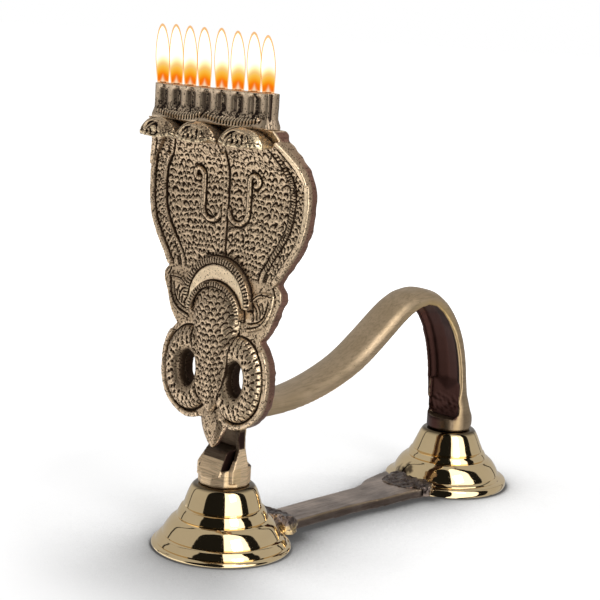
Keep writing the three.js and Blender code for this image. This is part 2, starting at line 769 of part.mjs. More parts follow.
function rearFootSkin() {
  return [
    [footCrownRadius - 0.4, footHeight], [footCrownRadius, footHeight - 0.3], [11.2, 21.5], [12.9, 18.0],
    [14.6, 14.4], [14.4, 13.9], [15.1, 13.5], [16.5, 12.1], [16.3, 11.5], [18.4, 10.1], [20.6, 7.3],
    [21.7, 4.8], [22.1, 4.0], [22.8, 3.8], [22.7, 3.4],
    [footRadius - 0.7, 2.9], [footRadius, 2.2], [footRadius, 0.7], [footRadius - 0.5, 0],
  ];
}

function bellFoot(skin) {
  const roof = footHeight - footWall;
  const hollow = [
    [footRadius - 0.5 - footWall, 0], [footRadius - 1.5 - footWall, 1.6], [20.4 - footWall, 4.8],
    [15.6 - footWall, 10.8], [11.4 - footWall, 18.4], [washerRadius + 1.2, roof],
    [screwRadius + gap, roof], [screwRadius + gap, footHeight],
  ];
  const ring = [...hollow, ...skin];
  return solid(turned([...ring, ring[0]].reverse(), footSides));
}

function footCasing(skin) {
  const outline = skin.map(([radius, height]) => [radius + gap, height]);
  const bottom = -footHeight;
  const top = 2 * footHeight;
  return solid(turned([[0, bottom], [footRadius - 0.5 + gap, bottom], ...outline.reverse(),
    [footCrownRadius - 0.4 + gap, top], [0, top]], footSides));
}

// Foot screws: slotted screws with a washer, up through the crown into the collar

function footScrew() {
  const seat = footHeight - footWall - washerThickness;
  const under = seat - screwHeadHeight;
  const body = solid(turned([[0, under], [screwHeadRadius - 1, under], [screwHeadRadius, under + 1],
    [screwHeadRadius, seat], [screwRadius, seat], [screwRadius, footHeight + screwGrip],
    [0, footHeight + screwGrip]], 16));
  const slotDepth = 1.2;
  const slot = new THREE.BoxGeometry(4 * screwHeadRadius, screwSlotWidth, 2 * slotDepth);
  return body.subtract(solid(slot.translate(0, 0, under)));
}

function footWasher() {
  const top = footHeight - footWall;
  const bottom = top - washerThickness;
  const ring = [[screwRadius + gap, bottom], [washerRadius, bottom], [washerRadius, top], [screwRadius + gap, top]];
  return solid(turned([...ring, ring[0]], 16));
}

// Tie bar: a flat bar between the feet, eared at the rear, its ends hollowed to the rims

// The bar's plan: its sides run straight, then step out to an ear on the left and spread on the right
function barPlan(spare) {
  const right = splineThrough([
    [0, barHalfWidth - barSkew - 0.4], [60, barHalfWidth - barSkew], [80, barHalfWidth + 1], [96, barHalfWidth + 1.6],
    [104, barEarRight - 0.8], [footSpacing, barEarRight],
  ], 16).map(([y, x]) => [x + spare, y]);
  const left = splineThrough([
    [0, barHalfWidth + barSkew - 0.3], [50, barHalfWidth + barSkew], [82, barHalfWidth + barSkew],
    [92, barEarLeft - 3.4], [101, barEarLeft - 1.2], [110, barEarLeft], [footSpacing, barEarLeft],
  ], 18).map(([y, x]) => [-x - spare, y]);
  return [...right, ...left.reverse()];
}

function barBlank(spare) {
  return solid(extrudeUp(barPlan(spare), barLift - spare, barLift + barThickness + spare));
}

function rimCut(y) {
  const reach = footRadius + gap;
  const cut = turned([[0, -1], [reach, -1], [reach, footHeight], [0, footHeight]], footSides);
  return solid(cut.translate(0, y, 0));
}

function tieBar() {
  return barBlank(0).subtract(rimCut(0)).subtract(rimCut(footSpacing));
}

// Solder: a rough fillet that runs from each foot over the end of the bar

function solderFillet(direction, start, halfWidth, reach, height, casing) {
  const top = barLift + barThickness;
  const profile = [
    [start - direction * reach, 0.8], [start - direction * reach, height + 1.4], [start, height],
    [start + direction * reach * 0.45, top + 1.4], [start + direction * reach, top + 0.7],
    [start + direction * reach, 0.8],
  ];
  const plan = Array.from({ length: 18 }, (_, i) => {
    const turn = 2 * Math.PI * i / 18;
    const lump = 1 + 0.07 * Math.sin(3 * turn + 1) + 0.05 * Math.cos(5 * turn);
    return [halfWidth * lump * Math.cos(turn), start + reach * lump * Math.sin(turn)];
  });
  const pad = solid(extrudeUp(plan, 0, footHeight));
  const block = solid(extrudeAcrossX(direction > 0 ? profile : profile.reverse(), 2 * halfWidth));
  return pad.intersect(block).subtract(casing).subtract(barBlank(gap));
}

// Wicks: a twisted cotton wick standing in each socket

function wick() {
  const radius = socketBore - wickClearance;
  const bottom = plateTop + railHeight - socketDepth;
  const top = plateTop + railHeight + wickStand;
  return solid(turned([[0, bottom], [radius - 0.3, bottom], [radius, bottom + 0.6], [radius, top - 3.6],
    [radius * 0.72, top - 1.2], [radius * 0.35, top - 0.2], [0, top]], 10));
}

// The lamp

function part(name, body, material) {
  const mesh = new THREE.Mesh(geometryOf(body), material);
  mesh.name = name;
  return mesh;
}

function footGroup(prefix, skin, y) {
  const group = new THREE.Group();
  group.position.y = y;
  group.add(
    part(`${prefix}_foot`, bellFoot(skin), polishedBrass),
    part(`${prefix}_foot_screw`, footScrew(), screwBrass),
    part(`${prefix}_foot_washer`, footWasher(), screwBrass));
  return group;
}

function lamp() {
  const group = new THREE.Group();
  group.name = 'cobra_lamp';
  group.position.y = -footSpacing / 2;
  group.add(
    part('hood_plate', hoodPlate(), antiqueBrass),
    part('wick_rail', wickRail(), antiqueBrass),
    part('snake_head_left', snakeHead(-1), antiqueBrass),
    part('snake_head_centre', snakeHead(0), antiqueBrass),
    part('snake_head_right', snakeHead(1), antiqueBrass),
    part('front_leg', frontLeg(), antiqueBrass),
    part('handle', handle(), satinBrass),
    part('tie_bar', tieBar(), dullBrass),
    footGroup('front', frontFootSkin(), 0),
    footGroup('rear', rearFootSkin(), footSpacing));
  const frontCasing = footCasing(frontFootSkin());
  const rearCasing = footCasing(rearFootSkin()).translate([0, footSpacing, 0]);
  group.add(
    part('front_solder', solderFillet(1, footRadius + 1, barHalfWidth + 2.4, solderReach, solderHeight, frontCasing),
      solderMetal),
    part('rear_solder', solderFillet(-1, footSpacing - footRadius - 1, barEarRight, solderReach - 1,
      solderHeight - 1.6, rearCasing), solderMetal));
  const wickShape = wick();
  socketPlaces().forEach(({ x, y }, i) => {
    const piece = part(`wick_${i + 1}`, wickShape, cotton);
    piece.position.set(x, y, 0);
    group.add(piece);
  });
  return group;
}

const model = lamp();

export default model;
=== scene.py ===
"""Looks of a brass cobra lamp for aarti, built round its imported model.

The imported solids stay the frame. Each cast piece is copied densely, softened and cut with its carving,
and each turned, filed or woven piece gets its own mesh. Lengths in the classes are millimetres, seen from
the axis of the front foot; the meshes are in metres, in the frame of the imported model.
"""

import logging
import math
from dataclasses import dataclass
from enum import Enum

import bmesh
import bpy
import numpy as np
from mathutils import Matrix, Vector

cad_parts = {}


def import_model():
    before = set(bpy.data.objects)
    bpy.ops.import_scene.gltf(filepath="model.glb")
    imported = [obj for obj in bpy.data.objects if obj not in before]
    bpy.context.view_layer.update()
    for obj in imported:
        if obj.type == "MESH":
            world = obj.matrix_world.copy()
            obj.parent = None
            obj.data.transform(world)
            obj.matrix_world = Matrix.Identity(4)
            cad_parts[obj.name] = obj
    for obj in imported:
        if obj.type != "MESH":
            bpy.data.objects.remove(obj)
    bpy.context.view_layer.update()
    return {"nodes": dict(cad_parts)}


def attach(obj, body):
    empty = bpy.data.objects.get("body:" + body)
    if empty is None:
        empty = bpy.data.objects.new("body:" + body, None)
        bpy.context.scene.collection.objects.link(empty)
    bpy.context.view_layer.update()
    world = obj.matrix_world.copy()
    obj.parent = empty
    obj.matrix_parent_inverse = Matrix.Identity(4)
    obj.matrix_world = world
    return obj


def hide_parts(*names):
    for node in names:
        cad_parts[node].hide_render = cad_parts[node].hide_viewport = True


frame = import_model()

LOG = logging.getLogger("lamp")
MM = 0.001
FOOT_AXIS = 65.0
BODY = "lamp"
Points = np.ndarray
Field = np.ndarray
Colour = tuple[float, float, float]
Socket = bpy.types.NodeSocket
Reading = Socket | float


# Small tools for fields and lines

def fade(low: float, high: float, value: Field) -> Field:
    """A smooth step.

    Args:
        low: Value where the step starts.
        high: Value where the step is full. It may be below low.
        value: The field to read.

    Returns:
        0 before low, 1 after high and a smooth curve between.
    """
    share = np.clip((value - low) / (high - low), 0, 1)
    return share * share * (3 - 2 * share)


def bump(distance: Field, width: float) -> Field:
    """A bell of height 1 at distance 0."""
    return np.exp(-((distance / width) ** 2))


def scatter(row: Field, column: Field, seed: float) -> Field:
    """A steady number from 0 to 1 for each cell of a pattern."""
    return np.modf(np.abs(np.sin(row * 12.9898 + column * 78.233 + seed) * 43758.5453))[0]


def lumps(points: Points, size: float, seed: int) -> Field:
    """Uneven hills and hollows between about -1 and 1.

    Args:
        points: Where to read them.
        size: How far apart the hills are, in millimetres.
        seed: Picks the pattern.

    Returns:
        The height at each point.
    """
    dice = np.random.default_rng(seed)
    total = np.zeros(len(points))
    for turn in range(9):
        way = dice.normal(size=3)
        way *= (1 + 0.22 * turn) / (np.linalg.norm(way) * size)
        total += np.sin(2 * math.pi * (points @ way) + 6.3 * dice.random()) / (1 + 0.22 * turn)
    return total / 3.2


def smooth_line(points: list[tuple[float, float]], count: int) -> Points:
    """A uniform Catmull-Rom line through points.

    Args:
        points: The points it passes through.
        count: How many steps it takes in all.

    Returns:
        An array of count + 1 points.
    """
    given = np.array(points, float)
    padded = np.vstack([given[:1], given, given[-1:]])
    places = np.linspace(0, len(given) - 1, count + 1)
    line = []
    for place in places:
        i = min(int(place), len(given) - 2)
        t = place - i
        p0, p1, p2, p3 = padded[i:i + 4]
        line.append(0.5 * (2 * p1 + (p2 - p0) * t + (2 * p0 - 5 * p1 + 4 * p2 - p3) * t * t
                           + (3 * p1 - p0 - 3 * p2 + p3) * t ** 3))
    return np.array(line)


def nearest(line: Points, x: Field, z: Field) -> tuple[Field, Field, Field]:
    """Where points lie beside an open line.

    Args:
        line: The line's points, in order.
        x: First coordinate of each point.
        z: Second coordinate of each point.

    Returns:
        The distance to the line, the length along it and the side: +1 to its left, -1 to its right.
    """
    best = np.full(x.shape, 1e9)
    along = np.zeros(x.shape)
    side = np.ones(x.shape)
    start = 0.0
    for (ax, az), (bx, bz) in zip(line[:-1], line[1:]):
        dx, dz = bx - ax, bz - az
        length = math.hypot(dx, dz)
        share = np.clip(((x - ax) * dx + (z - az) * dz) / length ** 2, 0, 1)
        off = np.hypot(x - ax - share * dx, z - az - share * dz)
        closer = off < best
        best = np.where(closer, off, best)
        along = np.where(closer, start + share * length, along)
        side = np.where(closer, np.sign(dx * (z - az) - dz * (x - ax)), side)
        start += length
    return best, along, side


# Meshes

def new_piece(name: str, mesh: bpy.types.Mesh) -> bpy.types.Object:
    """A new object in the scene with the mesh given.

    Args:
        name: The object's name.
        mesh: Its mesh.

    Returns:
        The object.
    """
    piece = bpy.data.objects.new(name, mesh)
    bpy.context.scene.collection.objects.link(piece)
    return piece


def settle(piece: bpy.types.Object) -> None:
    """Applies the piece's modifiers to its own mesh.

    Args:
        piece: The piece to settle.
    """
    seen = piece.evaluated_get(bpy.context.evaluated_depsgraph_get())
    made = bpy.data.meshes.new_from_object(seen)
    old = piece.data
    piece.modifiers.clear()
    piece.data = made
    bpy.data.meshes.remove(old)


def points_of(piece: bpy.types.Object) -> Points:
    """The piece's vertices in millimetres, with y counted from the front foot's axis.

    Args:
        piece: The piece to read.

    Returns:
        One row for each vertex.
    """
    flat = np.empty(len(piece.data.vertices) * 3)
    piece.data.vertices.foreach_get("co", flat)
    return flat.reshape(-1, 3) / MM + (0, FOOT_AXIS, 0)


def place_points(piece: bpy.types.Object, points: Points) -> None:
    """Moves the piece's vertices to points in millimetres."""
    piece.data.vertices.foreach_set("co", ((points - (0, FOOT_AXIS, 0)) * MM).ravel())
    piece.data.update()


def normals_of(piece: bpy.types.Object) -> Points:
    """The unit normal at each vertex.

    Args:
        piece: The piece to read.

    Returns:
        One row for each vertex.
    """
    flat = np.empty(len(piece.data.vertices) * 3)
    piece.data.vertex_normals.foreach_get("vector", flat)
    return flat.reshape(-1, 3)


def relaxed(piece: bpy.types.Object, points: Points, rounds: int, pull: float = 0.5) -> Points:
    """Points drawn towards the mean of their neighbours.

    Args:
        piece: The mesh that says which points are neighbours.
        points: The points to smooth.
        rounds: How often they are drawn in.
        pull: The share of the way they go each time.

    Returns:
        The smoothed points.
    """
    edges = np.empty(len(piece.data.edges) * 2, np.int64)
    piece.data.edges.foreach_get("vertices", edges)
    first, second = edges.reshape(-1, 2).T
    count = len(points)
    degree = np.maximum(np.bincount(first, minlength=count) + np.bincount(second, minlength=count), 1)
    for _ in range(rounds):
        mean = np.stack([
            (np.bincount(first, points[second, axis], count)
             + np.bincount(second, points[first, axis], count)) / degree
            for axis in range(3)], axis=1)
        points = points + pull * (mean - points)
    return points


def record(piece: bpy.types.Object, name: str, values: Field) -> None:
    """Keeps one number per vertex for the piece's finish to read."""
    layer = piece.data.attributes.get(name) or piece.data.attributes.new(name, "FLOAT", "POINT")
    layer.data.foreach_set("value", np.asarray(values, np.float32))


def record_relief(piece: bpy.types.Object, rounds: int, depth: float) -> None:
    """Records how far each vertex stands above (over 0.5) or below (under 0.5) what lies round it.

    Args:
        piece: The finished mesh.
        rounds: How widely "round it" reaches, in smoothing rounds.
        depth: The height in millimetres that counts as full.
    """
    points = points_of(piece)
    stand = np.einsum("ij,ij->i", points - relaxed(piece, points, rounds), normals_of(piece))
    record(piece, "relief", np.clip(0.5 + 0.5 * stand / depth, 0, 1))


def dense_copy(node: str, name: str, voxel: float, rounds: int) -> bpy.types.Object:
    """A dense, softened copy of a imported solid.

    Args:
        node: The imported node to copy.
        name: The new piece's name.
        voxel: Size of its mesh, in millimetres.
        rounds: How often its edges are softened.

    Returns:
        The new piece, which stands for the node.
    """
    mesh = frame["nodes"][node].data.copy()
    mesh.materials.clear()
    work = bmesh.new()
    work.from_mesh(mesh)
    bmesh.ops.remove_doubles(work, verts=work.verts, dist=1e-7)
    work.to_mesh(mesh)
    work.free()
    piece = new_piece(name, mesh)
    remesh = piece.modifiers.new("grain", "REMESH")
    remesh.mode = "VOXEL"
    remesh.voxel_size = voxel * MM
    remesh.adaptivity = 0.0
    settle(piece)
    place_points(piece, relaxed(piece, points_of(piece), rounds))
    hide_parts(node)
    return piece


def thin_out(piece: bpy.types.Object, plain: Field, most: int) -> None:
    """Takes faces away where the mesh is plain.

    Args:
        piece: The mesh to thin.
        plain: 1 at each vertex that may go, 0 where it stays.
        most: How many triangles are left in all.
    """
    group = piece.vertex_groups.new(name="plain")
    group.add(np.nonzero(plain > 0.5)[0].tolist(), 1.0, "REPLACE")
    piece.data.calc_loop_triangles()
    thin = piece.modifiers.new("thin", "DECIMATE")
    thin.ratio = min(1.0, most / len(piece.data.loop_triangles))
    thin.vertex_group = "plain"
    settle(piece)
    piece.vertex_groups.clear()


def skin(rings: Points, closed_row: bool, caps: bool) -> bpy.types.Mesh:
    """A mesh over a row of rings.

    Args:
        rings: An array (rings, points, 3) in millimetres from the front foot's axis.
        closed_row: Whether the last ring joins the first.
        caps: Whether the two ends are closed with a fan.

    Returns:
        The mesh, in metres, with its faces pointing outwards.
    """
    rows, count, _ = rings.shape
    points = (rings.reshape(-1, 3) - (0, FOOT_AXIS, 0)) * MM
    faces = []
    for row in range(rows if closed_row else rows - 1):
        here, there = row * count, (row + 1) % rows * count
        for i in range(count):
            j = (i + 1) % count
            faces.append((here + i, here + j, there + j, there + i))
    if caps:
        faces.append(tuple(range(count))[::-1])
        faces.append(tuple(range((rows - 1) * count, rows * count)))
    mesh = bpy.data.meshes.new("skin")
    mesh.from_pydata(points.tolist(), [], faces)
    work = bmesh.new()
    work.from_mesh(mesh)
    bmesh.ops.remove_doubles(work, verts=work.verts, dist=1e-8)
    bmesh.ops.recalc_face_normals(work, faces=work.faces)
    work.to_mesh(mesh)
    work.free()
    return mesh


def turned(profile: Points, centre: tuple[float, float], sides: int) -> bpy.types.Mesh:
    """A closed profile of radius and height, turned about a vertical axis.

    Args:
        profile: Points (radius, height) round the section, in order.
        centre: The axis's x and y, in millimetres from the front foot's axis.
        sides: How many steps make the full turn.

    Returns:
        The turned mesh.
    """
    angles = np.linspace(0, 2 * math.pi, sides, endpoint=False)
    rings = np.stack([np.stack([
        centre[0] + profile[:, 0] * math.cos(a),
        centre[1] + profile[:, 0] * math.sin(a),
        profile[:, 1]], axis=1) for a in angles])
    return skin(rings, closed_row=True, caps=False)


def shade(piece: bpy.types.Object, angle: float | None = None) -> None:
    """Smooth shading, with edges sharper than an angle in degrees left crisp.

    Args:
        piece: The piece to shade.
        angle: The angle, or None for no crisp edge.
    """
    piece.data.shade_smooth()
    if angle is not None:
        work = bmesh.new()
        work.from_mesh(piece.data)
        for edge in work.edges:
            if len(edge.link_faces) == 2:
                edge.smooth = edge.calc_face_angle(0.0) < math.radians(angle)
        work.to_mesh(piece.data)
        work.free()


# Finishes

class Grain(Enum):
    """Which way the file or the brush has gone over a surface."""

    ALONG = (1.0, 0.06, 1.0)
    ROUND = (0.05, 0.05, 1.0)


class Sheet:
    """A material's node tree while it is being drawn up."""

    def __init__(self, name: str) -> None:
        """Starts an empty material called name.

        Args:
            name: The material's name.
        """
        self.material = bpy.data.materials.new(name)
        self.material.use_nodes = True
        self.tree = self.material.node_tree
        self.tree.nodes.clear()
        self.output = self.tree.nodes.new("ShaderNodeOutputMaterial")
        self.place = self.tree.nodes.new("ShaderNodeTexCoord").outputs["Object"]

    def add(self, kind: str, inputs: dict | None = None, **settings: str | bool) -> bpy.types.Node:
        """A new node.

        Args:
            kind: The node's type, without "ShaderNode".
            inputs: Values or sockets for its inputs, by name or number.
            settings: The node's own properties.

        Returns:
            The node.
        """
        node = self.tree.nodes.new("ShaderNode" + kind)
        for key, value in settings.items():
            setattr(node, key, value)
        for key, value in (inputs or {}).items():
            if isinstance(value, Socket):
                self.tree.links.new(value, node.inputs[key])
            else:
                node.inputs[key].default_value = value
        return node

    def noise(self, scale: float, detail: float = 3.0, stretch: Colour = (1, 1, 1),
              rough: float = 0.55) -> Socket:
        """A noise from 0 to 1 whose lumps are about 1/scale of a millimetre wide.

        Args:
            scale: Lumps in a millimetre.
            detail: How many finer layers lie over the first.
            stretch: How much finer it is along x, y and z.
            rough: How strong the finer layers are.

        Returns:
            The noise.
        """
        spread = self.add("Mapping", {"Vector": self.place, "Scale": tuple(s / MM for s in stretch)})
        return self.add("TexNoise", {
            "Vector": spread.outputs[0], "Scale": scale, "Detail": detail, "Roughness": rough}).outputs["Fac"]

    def pits(self, scale: float, reach: float) -> Socket:
        """Small round pits: 1 in a pit's middle, 0 between pits.

        Args:
            scale: Pits in a millimetre.
            reach: A pit's radius as a share of their spacing.

        Returns:
            The pits.
        """
        spread = self.add("Mapping", {"Vector": self.place, "Scale": (1 / MM,) * 3})
        cells = self.add("TexVoronoi", {"Vector": spread.outputs[0], "Scale": scale})
        return self.span(cells.outputs["Distance"], reach, reach * 0.45)

    def span(self, value: Socket, low: float, high: float) -> Socket:
        """The value's share of the way from low to high, kept within 0 and 1."""
        return self.add("MapRange", {"Value": value, "From Min": low, "From Max": high}).outputs["Result"]

    def sums(self, kind: str, first: Reading, second: Reading) -> Socket:
        """One arithmetic step on two values, clamped to 0 and 1."""
        return self.add("Math", {0: first, 1: second}, operation=kind, use_clamp=True).outputs[0]

    def blend(self, share: Reading, first: Socket | Colour, second: Socket | Colour) -> Socket:
        """The first colour blended with the second by a share.

        Args:
            share: How much of the second colour shows.
            first: The colour below.
            second: The colour laid over it.

        Returns:
            The colour that comes out.
        """
        node = self.add("Mix", data_type="RGBA")
        for number, value in ((0, share), (6, first), (7, second)):
            if isinstance(value, Socket):
                self.tree.links.new(value, node.inputs[number])
            else:
                node.inputs[number].default_value = (*value, 1) if isinstance(value, tuple) else value
        return node.outputs[2]

    def kept(self, name: str) -> Socket:
        """The number kept on the mesh under a name."""
        return self.add("Attribute", attribute_name=name).outputs["Fac"]

    def raise_by(self, height: Socket, distance: float, strength: float,
                 below: Socket | None = None) -> Socket:
        """A bump of a height in millimetres.

        Args:
            height: The height to read.
            distance: How high a full height stands.
            strength: The share of it that is used.
            below: A bump that lies under it.

        Returns:
            The normal that comes out.
        """
        inputs = {"Height": height, "Distance": distance * MM, "Strength": strength}
        if below is not None:
            inputs["Normal"] = below
        return self.add("Bump", inputs).outputs["Normal"]

    def finish(self, shader: Socket) -> bpy.types.Material:
        """Joins the surface to the output and returns the material."""
        self.tree.links.new(shader, self.output.inputs["Surface"])
        return self.material


@dataclass(frozen=True)
class CastBrass:
    """Cast brass: bright where it is rubbed and where a highlight is painted, dark brown where the patina
    stays and where shade is painted.
    """

    name: str
    rubbed_and_highlight: Colour
    field: Colour
    patina: Colour
    roughness: float = 0.36
    pit_share: float = 0.5
    edge: Colour | None = None
    bare: float = 0.85

    def material(self) -> bpy.types.Material:
        """The finish as a material that reads the relief kept on the mesh.

        Returns:
            The material.
        """
        sheet = Sheet(self.name)
        relief = sheet.kept("relief")
        cloud = sheet.noise(0.09, 4.0)
        grit = sheet.noise(2.2, 5.0)
        speck = sheet.pits(0.85, 0.2)
        tone = sheet.blend(sheet.span(cloud, 0.3, 0.7), self.field, tuple(0.74 * c for c in self.field))
        tone = sheet.blend(sheet.span(relief, 0.5, 0.66), tone, self.rubbed_and_highlight)
        tone = sheet.blend(sheet.span(grit, 0.5, 0.78), tone, tuple(0.6 * c for c in self.field))
        if self.edge is not None:
            warm = sheet.blend(sheet.span(cloud, 0.35, 0.65), self.edge, tuple(0.6 * c for c in self.edge))
            strokes_down = sheet.noise(1.1, 3.0, (0.05, 0.05, 1.0), 0.7)
            warm = sheet.blend(sheet.span(strokes_down, 0.46, 0.72), warm, tuple(0.45 * c for c in self.edge))
            tone = sheet.blend(sheet.kept("side"), tone, warm)
        # Painted highlight: where the mesh keeps a glow, the colour goes to a brighter copy of the rubbed
        # colour.
        tone = sheet.blend(sheet.kept("glow"), tone, tuple(min(1.0, 1.35 * c) for c in self.rubbed_and_highlight))
        sand = sheet.span(sheet.sums("ADD", sheet.noise(1.5, 1.5), sheet.sums(
            "MULTIPLY", sheet.kept("sand"), 0.3)), 0.62, 0.68)
        dark = sheet.sums("ADD", sheet.span(relief, 0.4, 0.15), sheet.sums("MULTIPLY", speck, self.pit_share))
        # Darkened where the mesh keeps a stain: real stains and patina, and painted shade in coves, holes,
        # channels and on sides turned from the light.
        dark = sheet.sums("ADD", dark, sheet.kept("stain_and_shade"))
        dark = sheet.sums("ADD", dark, sheet.sums("MULTIPLY", sand, 0.85))
        tone = sheet.blend(dark, tone, self.patina)
        rough = sheet.add("MapRange", {"Value": dark, "To Min": self.roughness, "To Max": 0.8}).outputs[0]
        normal = sheet.raise_by(grit, 0.07, 0.6)
        normal = sheet.raise_by(sheet.sums("SUBTRACT", 1.0, dark), 0.1, 0.5, normal)
        surface = sheet.add("BsdfPrincipled", {
            "Base Color": tone, "Roughness": rough, "Normal": normal, "Metallic": self.bare})
        return sheet.finish(surface.outputs[0])


@dataclass(frozen=True)
class FiledBrass:
    """Brass left from the file or the brush, with its strokes going one way."""

    name: str
    bright: Colour
    dull: Colour
    roughness: float
    grain: Grain
    depth: float = 0.05
    scale: float = 1.4
    streak: float = 0.72
    # The colour of the painted highlight kept as glow.
    edge: Colour = (0.66, 0.47, 0.22)
    # The colour of pits and stains, also used for painted shade.
    stain_and_shade: Colour = (0.03, 0.015, 0.012)

    def material(self) -> bpy.types.Material:
        """The finish as a material.

        Returns:
            The material.
        """
        sheet = Sheet(self.name)
        lines = sheet.noise(self.scale, 4.0, self.grain.value, 0.7)
        cloud = sheet.noise(0.07, 4.0)
        grit = sheet.noise(1.3, 5.0)
        tone = sheet.blend(sheet.span(cloud, 0.32, 0.68), self.bright, self.dull)
        tone = sheet.blend(sheet.span(lines, 0.45, 0.8), tone, tuple(self.streak * c for c in self.dull))
        tone = sheet.blend(sheet.sums("MULTIPLY", sheet.pits(0.3, 0.08), 0.7), tone, self.stain_and_shade)
        # Painted highlight: the edge colour where the mesh keeps a glow.
        tone = sheet.blend(sheet.kept("glow"), tone, self.edge)
        # Painted shade and real stains, where the mesh keeps them.
        tone = sheet.blend(sheet.kept("stain_and_shade"), tone, self.stain_and_shade)
        rough = sheet.add("MapRange", {
            "Value": grit, "To Min": self.roughness * 0.8, "To Max": self.roughness * 1.3}).outputs[0]
        normal = sheet.raise_by(lines, self.depth, 1.0)
        normal = sheet.raise_by(grit, 0.03, 0.6, normal)
        surface = sheet.add("BsdfPrincipled", {
            "Base Color": tone, "Roughness": rough, "Normal": normal, "Metallic": 1.0})
        return sheet.finish(surface.outputs[0])


@dataclass(frozen=True)
class PolishedBrass:
    """Brass turned and buffed to a mirror, with the faintest rings of the lathe."""

    name: str
    colour: Colour
    roughness: float = 0.05

    def material(self) -> bpy.types.Material:
        """The finish as a material.

        Returns:
            The material.
        """
        sheet = Sheet(self.name)
        cloud = sheet.noise(0.12, 3.0)
        smear = sheet.noise(0.5, 4.0, (1, 1, 2.5))
        rings = sheet.noise(3.0, 2.0, (0.01, 0.01, 1.0))
        tone = sheet.blend(sheet.span(cloud, 0.35, 0.7), self.colour, tuple(0.93 * c for c in self.colour))
        # Painted shade inside the bells and round their crowns, and the rear bell's burnt patches.
        tone = sheet.blend(sheet.kept("stain_and_shade"), tone, (0.03, 0.016, 0.008))
        rough = sheet.add("MapRange", {
            "Value": smear, "From Min": 0.45, "From Max": 0.8, "To Min": self.roughness,
            "To Max": self.roughness * 2.4}).outputs[0]
        normal = sheet.raise_by(rings, 0.004, 1.0)
        surface = sheet.add("BsdfPrincipled", {
            "Base Color": tone, "Roughness": rough, "Normal": normal, "Metallic": 1.0})
        return sheet.finish(surface.outputs[0])


@dataclass(frozen=True)
class Cotton:
    """Twisted cotton, singed dark at the tip."""

    name: str
    colour: Colour = (0.78, 0.72, 0.6)
    singed: Colour = (0.03, 0.022, 0.018)

    def material(self) -> bpy.types.Material:
        """The finish as a material.

        Returns:
            The material.
        """
        sheet = Sheet(self.name)
        fibre = sheet.noise(3.0, 5.0, (1, 1, 0.3))
        tone = sheet.blend(sheet.span(fibre, 0.35, 0.7), self.colour, tuple(0.75 * c for c in self.colour))
        tone = sheet.blend(sheet.kept("singed"), tone, self.singed)
        normal = sheet.raise_by(fibre, 0.15, 0.8)
        surface = sheet.add("BsdfPrincipled", {
            "Base Color": tone, "Normal": normal, "Roughness": 0.95, "Sheen Weight": 0.25})
        return sheet.finish(surface.outputs[0])


@dataclass(frozen=True)
class FlameLight:
    """The flame's own light: orange at the foot, yellow above it, white over most of its height."""

    name: str
    strength: float = 2.4

    def material(self) -> bpy.types.Material:
        """The finish as a material that reads the height along the flame.

        Returns:
            The material.
        """
        sheet = Sheet(self.name)
        ramp = sheet.add("ValToRGB", {"Fac": sheet.kept("height")})
        stops = [(0.0, (1.0, 0.86, 0.74)), (0.02, (1.0, 0.5, 0.2)), (0.06, (0.92, 0.23, 0.012)),
                 (0.15, (1.0, 0.27, 0.006)), (0.21, (1.0, 0.5, 0.03)), (0.28, (1.0, 0.72, 0.14)),
                 (0.38, (1.0, 0.92, 0.62)), (0.46, (1.0, 1.0, 1.0))]
        while len(ramp.color_ramp.elements) < len(stops):
            ramp.color_ramp.elements.new(0.5)
        for element, (place, colour) in zip(ramp.color_ramp.elements, stops):
            element.position = place
            element.color = (*colour, 1)
        core = sheet.blend(sheet.kept("core"), ramp.outputs[0], (1.0, 0.96, 0.9))
        power = sheet.add("MapRange", {
            "Value": sheet.kept("height"), "From Min": 0.34, "From Max": 0.55, "To Min": 1.0,
            "To Max": self.strength}).outputs[0]
        light = sheet.add("Emission", {"Color": core, "Strength": power})
        return sheet.finish(light.outputs[0])


@dataclass(frozen=True)
class FlameEdge:
    """The flame's thin glowing skin, an orange film that is seen through."""

    name: str
    tint: Colour = (0.96, 0.73, 0.5)

    def material(self) -> bpy.types.Material:
        """The finish as a material.

        Returns:
            The material.
        """
        sheet = Sheet(self.name)
        film = sheet.add("BsdfTransparent", {"Color": (*self.tint, 1)})
        return sheet.finish(film.outputs[0])


ANTIQUE = CastBrass("antique_brass", rubbed_and_highlight=(0.78, 0.585, 0.39), field=(0.57, 0.415, 0.265),
                    patina=(0.05, 0.027, 0.014), edge=(0.36, 0.19, 0.135))
ANTIQUE_RAIL = CastBrass("antique_brass_rail", rubbed_and_highlight=(0.82, 0.64, 0.44), field=(0.68, 0.52, 0.36),
                         patina=(0.034, 0.02, 0.014), roughness=0.36, pit_share=0.4)
ANTIQUE_HEAD = CastBrass("antique_brass_head", rubbed_and_highlight=(0.86, 0.66, 0.43), field=(0.6, 0.44, 0.28),
                         patina=(0.03, 0.017, 0.012), roughness=0.27, pit_share=0.2)
FILED_LEG = FiledBrass("filed_brass", bright=(0.86, 0.65, 0.42), dull=(0.68, 0.515, 0.33),
                       roughness=0.5, grain=Grain.ROUND, depth=0.1, scale=2.4, streak=0.4)
SATIN = FiledBrass("satin_brass", bright=(0.62, 0.465, 0.3), dull=(0.5, 0.37, 0.225),
                   roughness=0.37, grain=Grain.ALONG, depth=0.012, scale=1.0, stain_and_shade=(0.045, 0.02, 0.016))
DULL_BAR = FiledBrass("dull_brass", bright=(0.6, 0.48, 0.4), dull=(0.29, 0.225, 0.185),
                      roughness=0.34, grain=Grain.ALONG, streak=0.5, stain_and_shade=(0.035, 0.02, 0.015))
SOLDER = CastBrass("solder", rubbed_and_highlight=(0.3, 0.225, 0.17), field=(0.13, 0.1, 0.088),
                   patina=(0.025, 0.016, 0.015), roughness=0.3, pit_share=0.3, edge=(0.62, 0.46, 0.24))
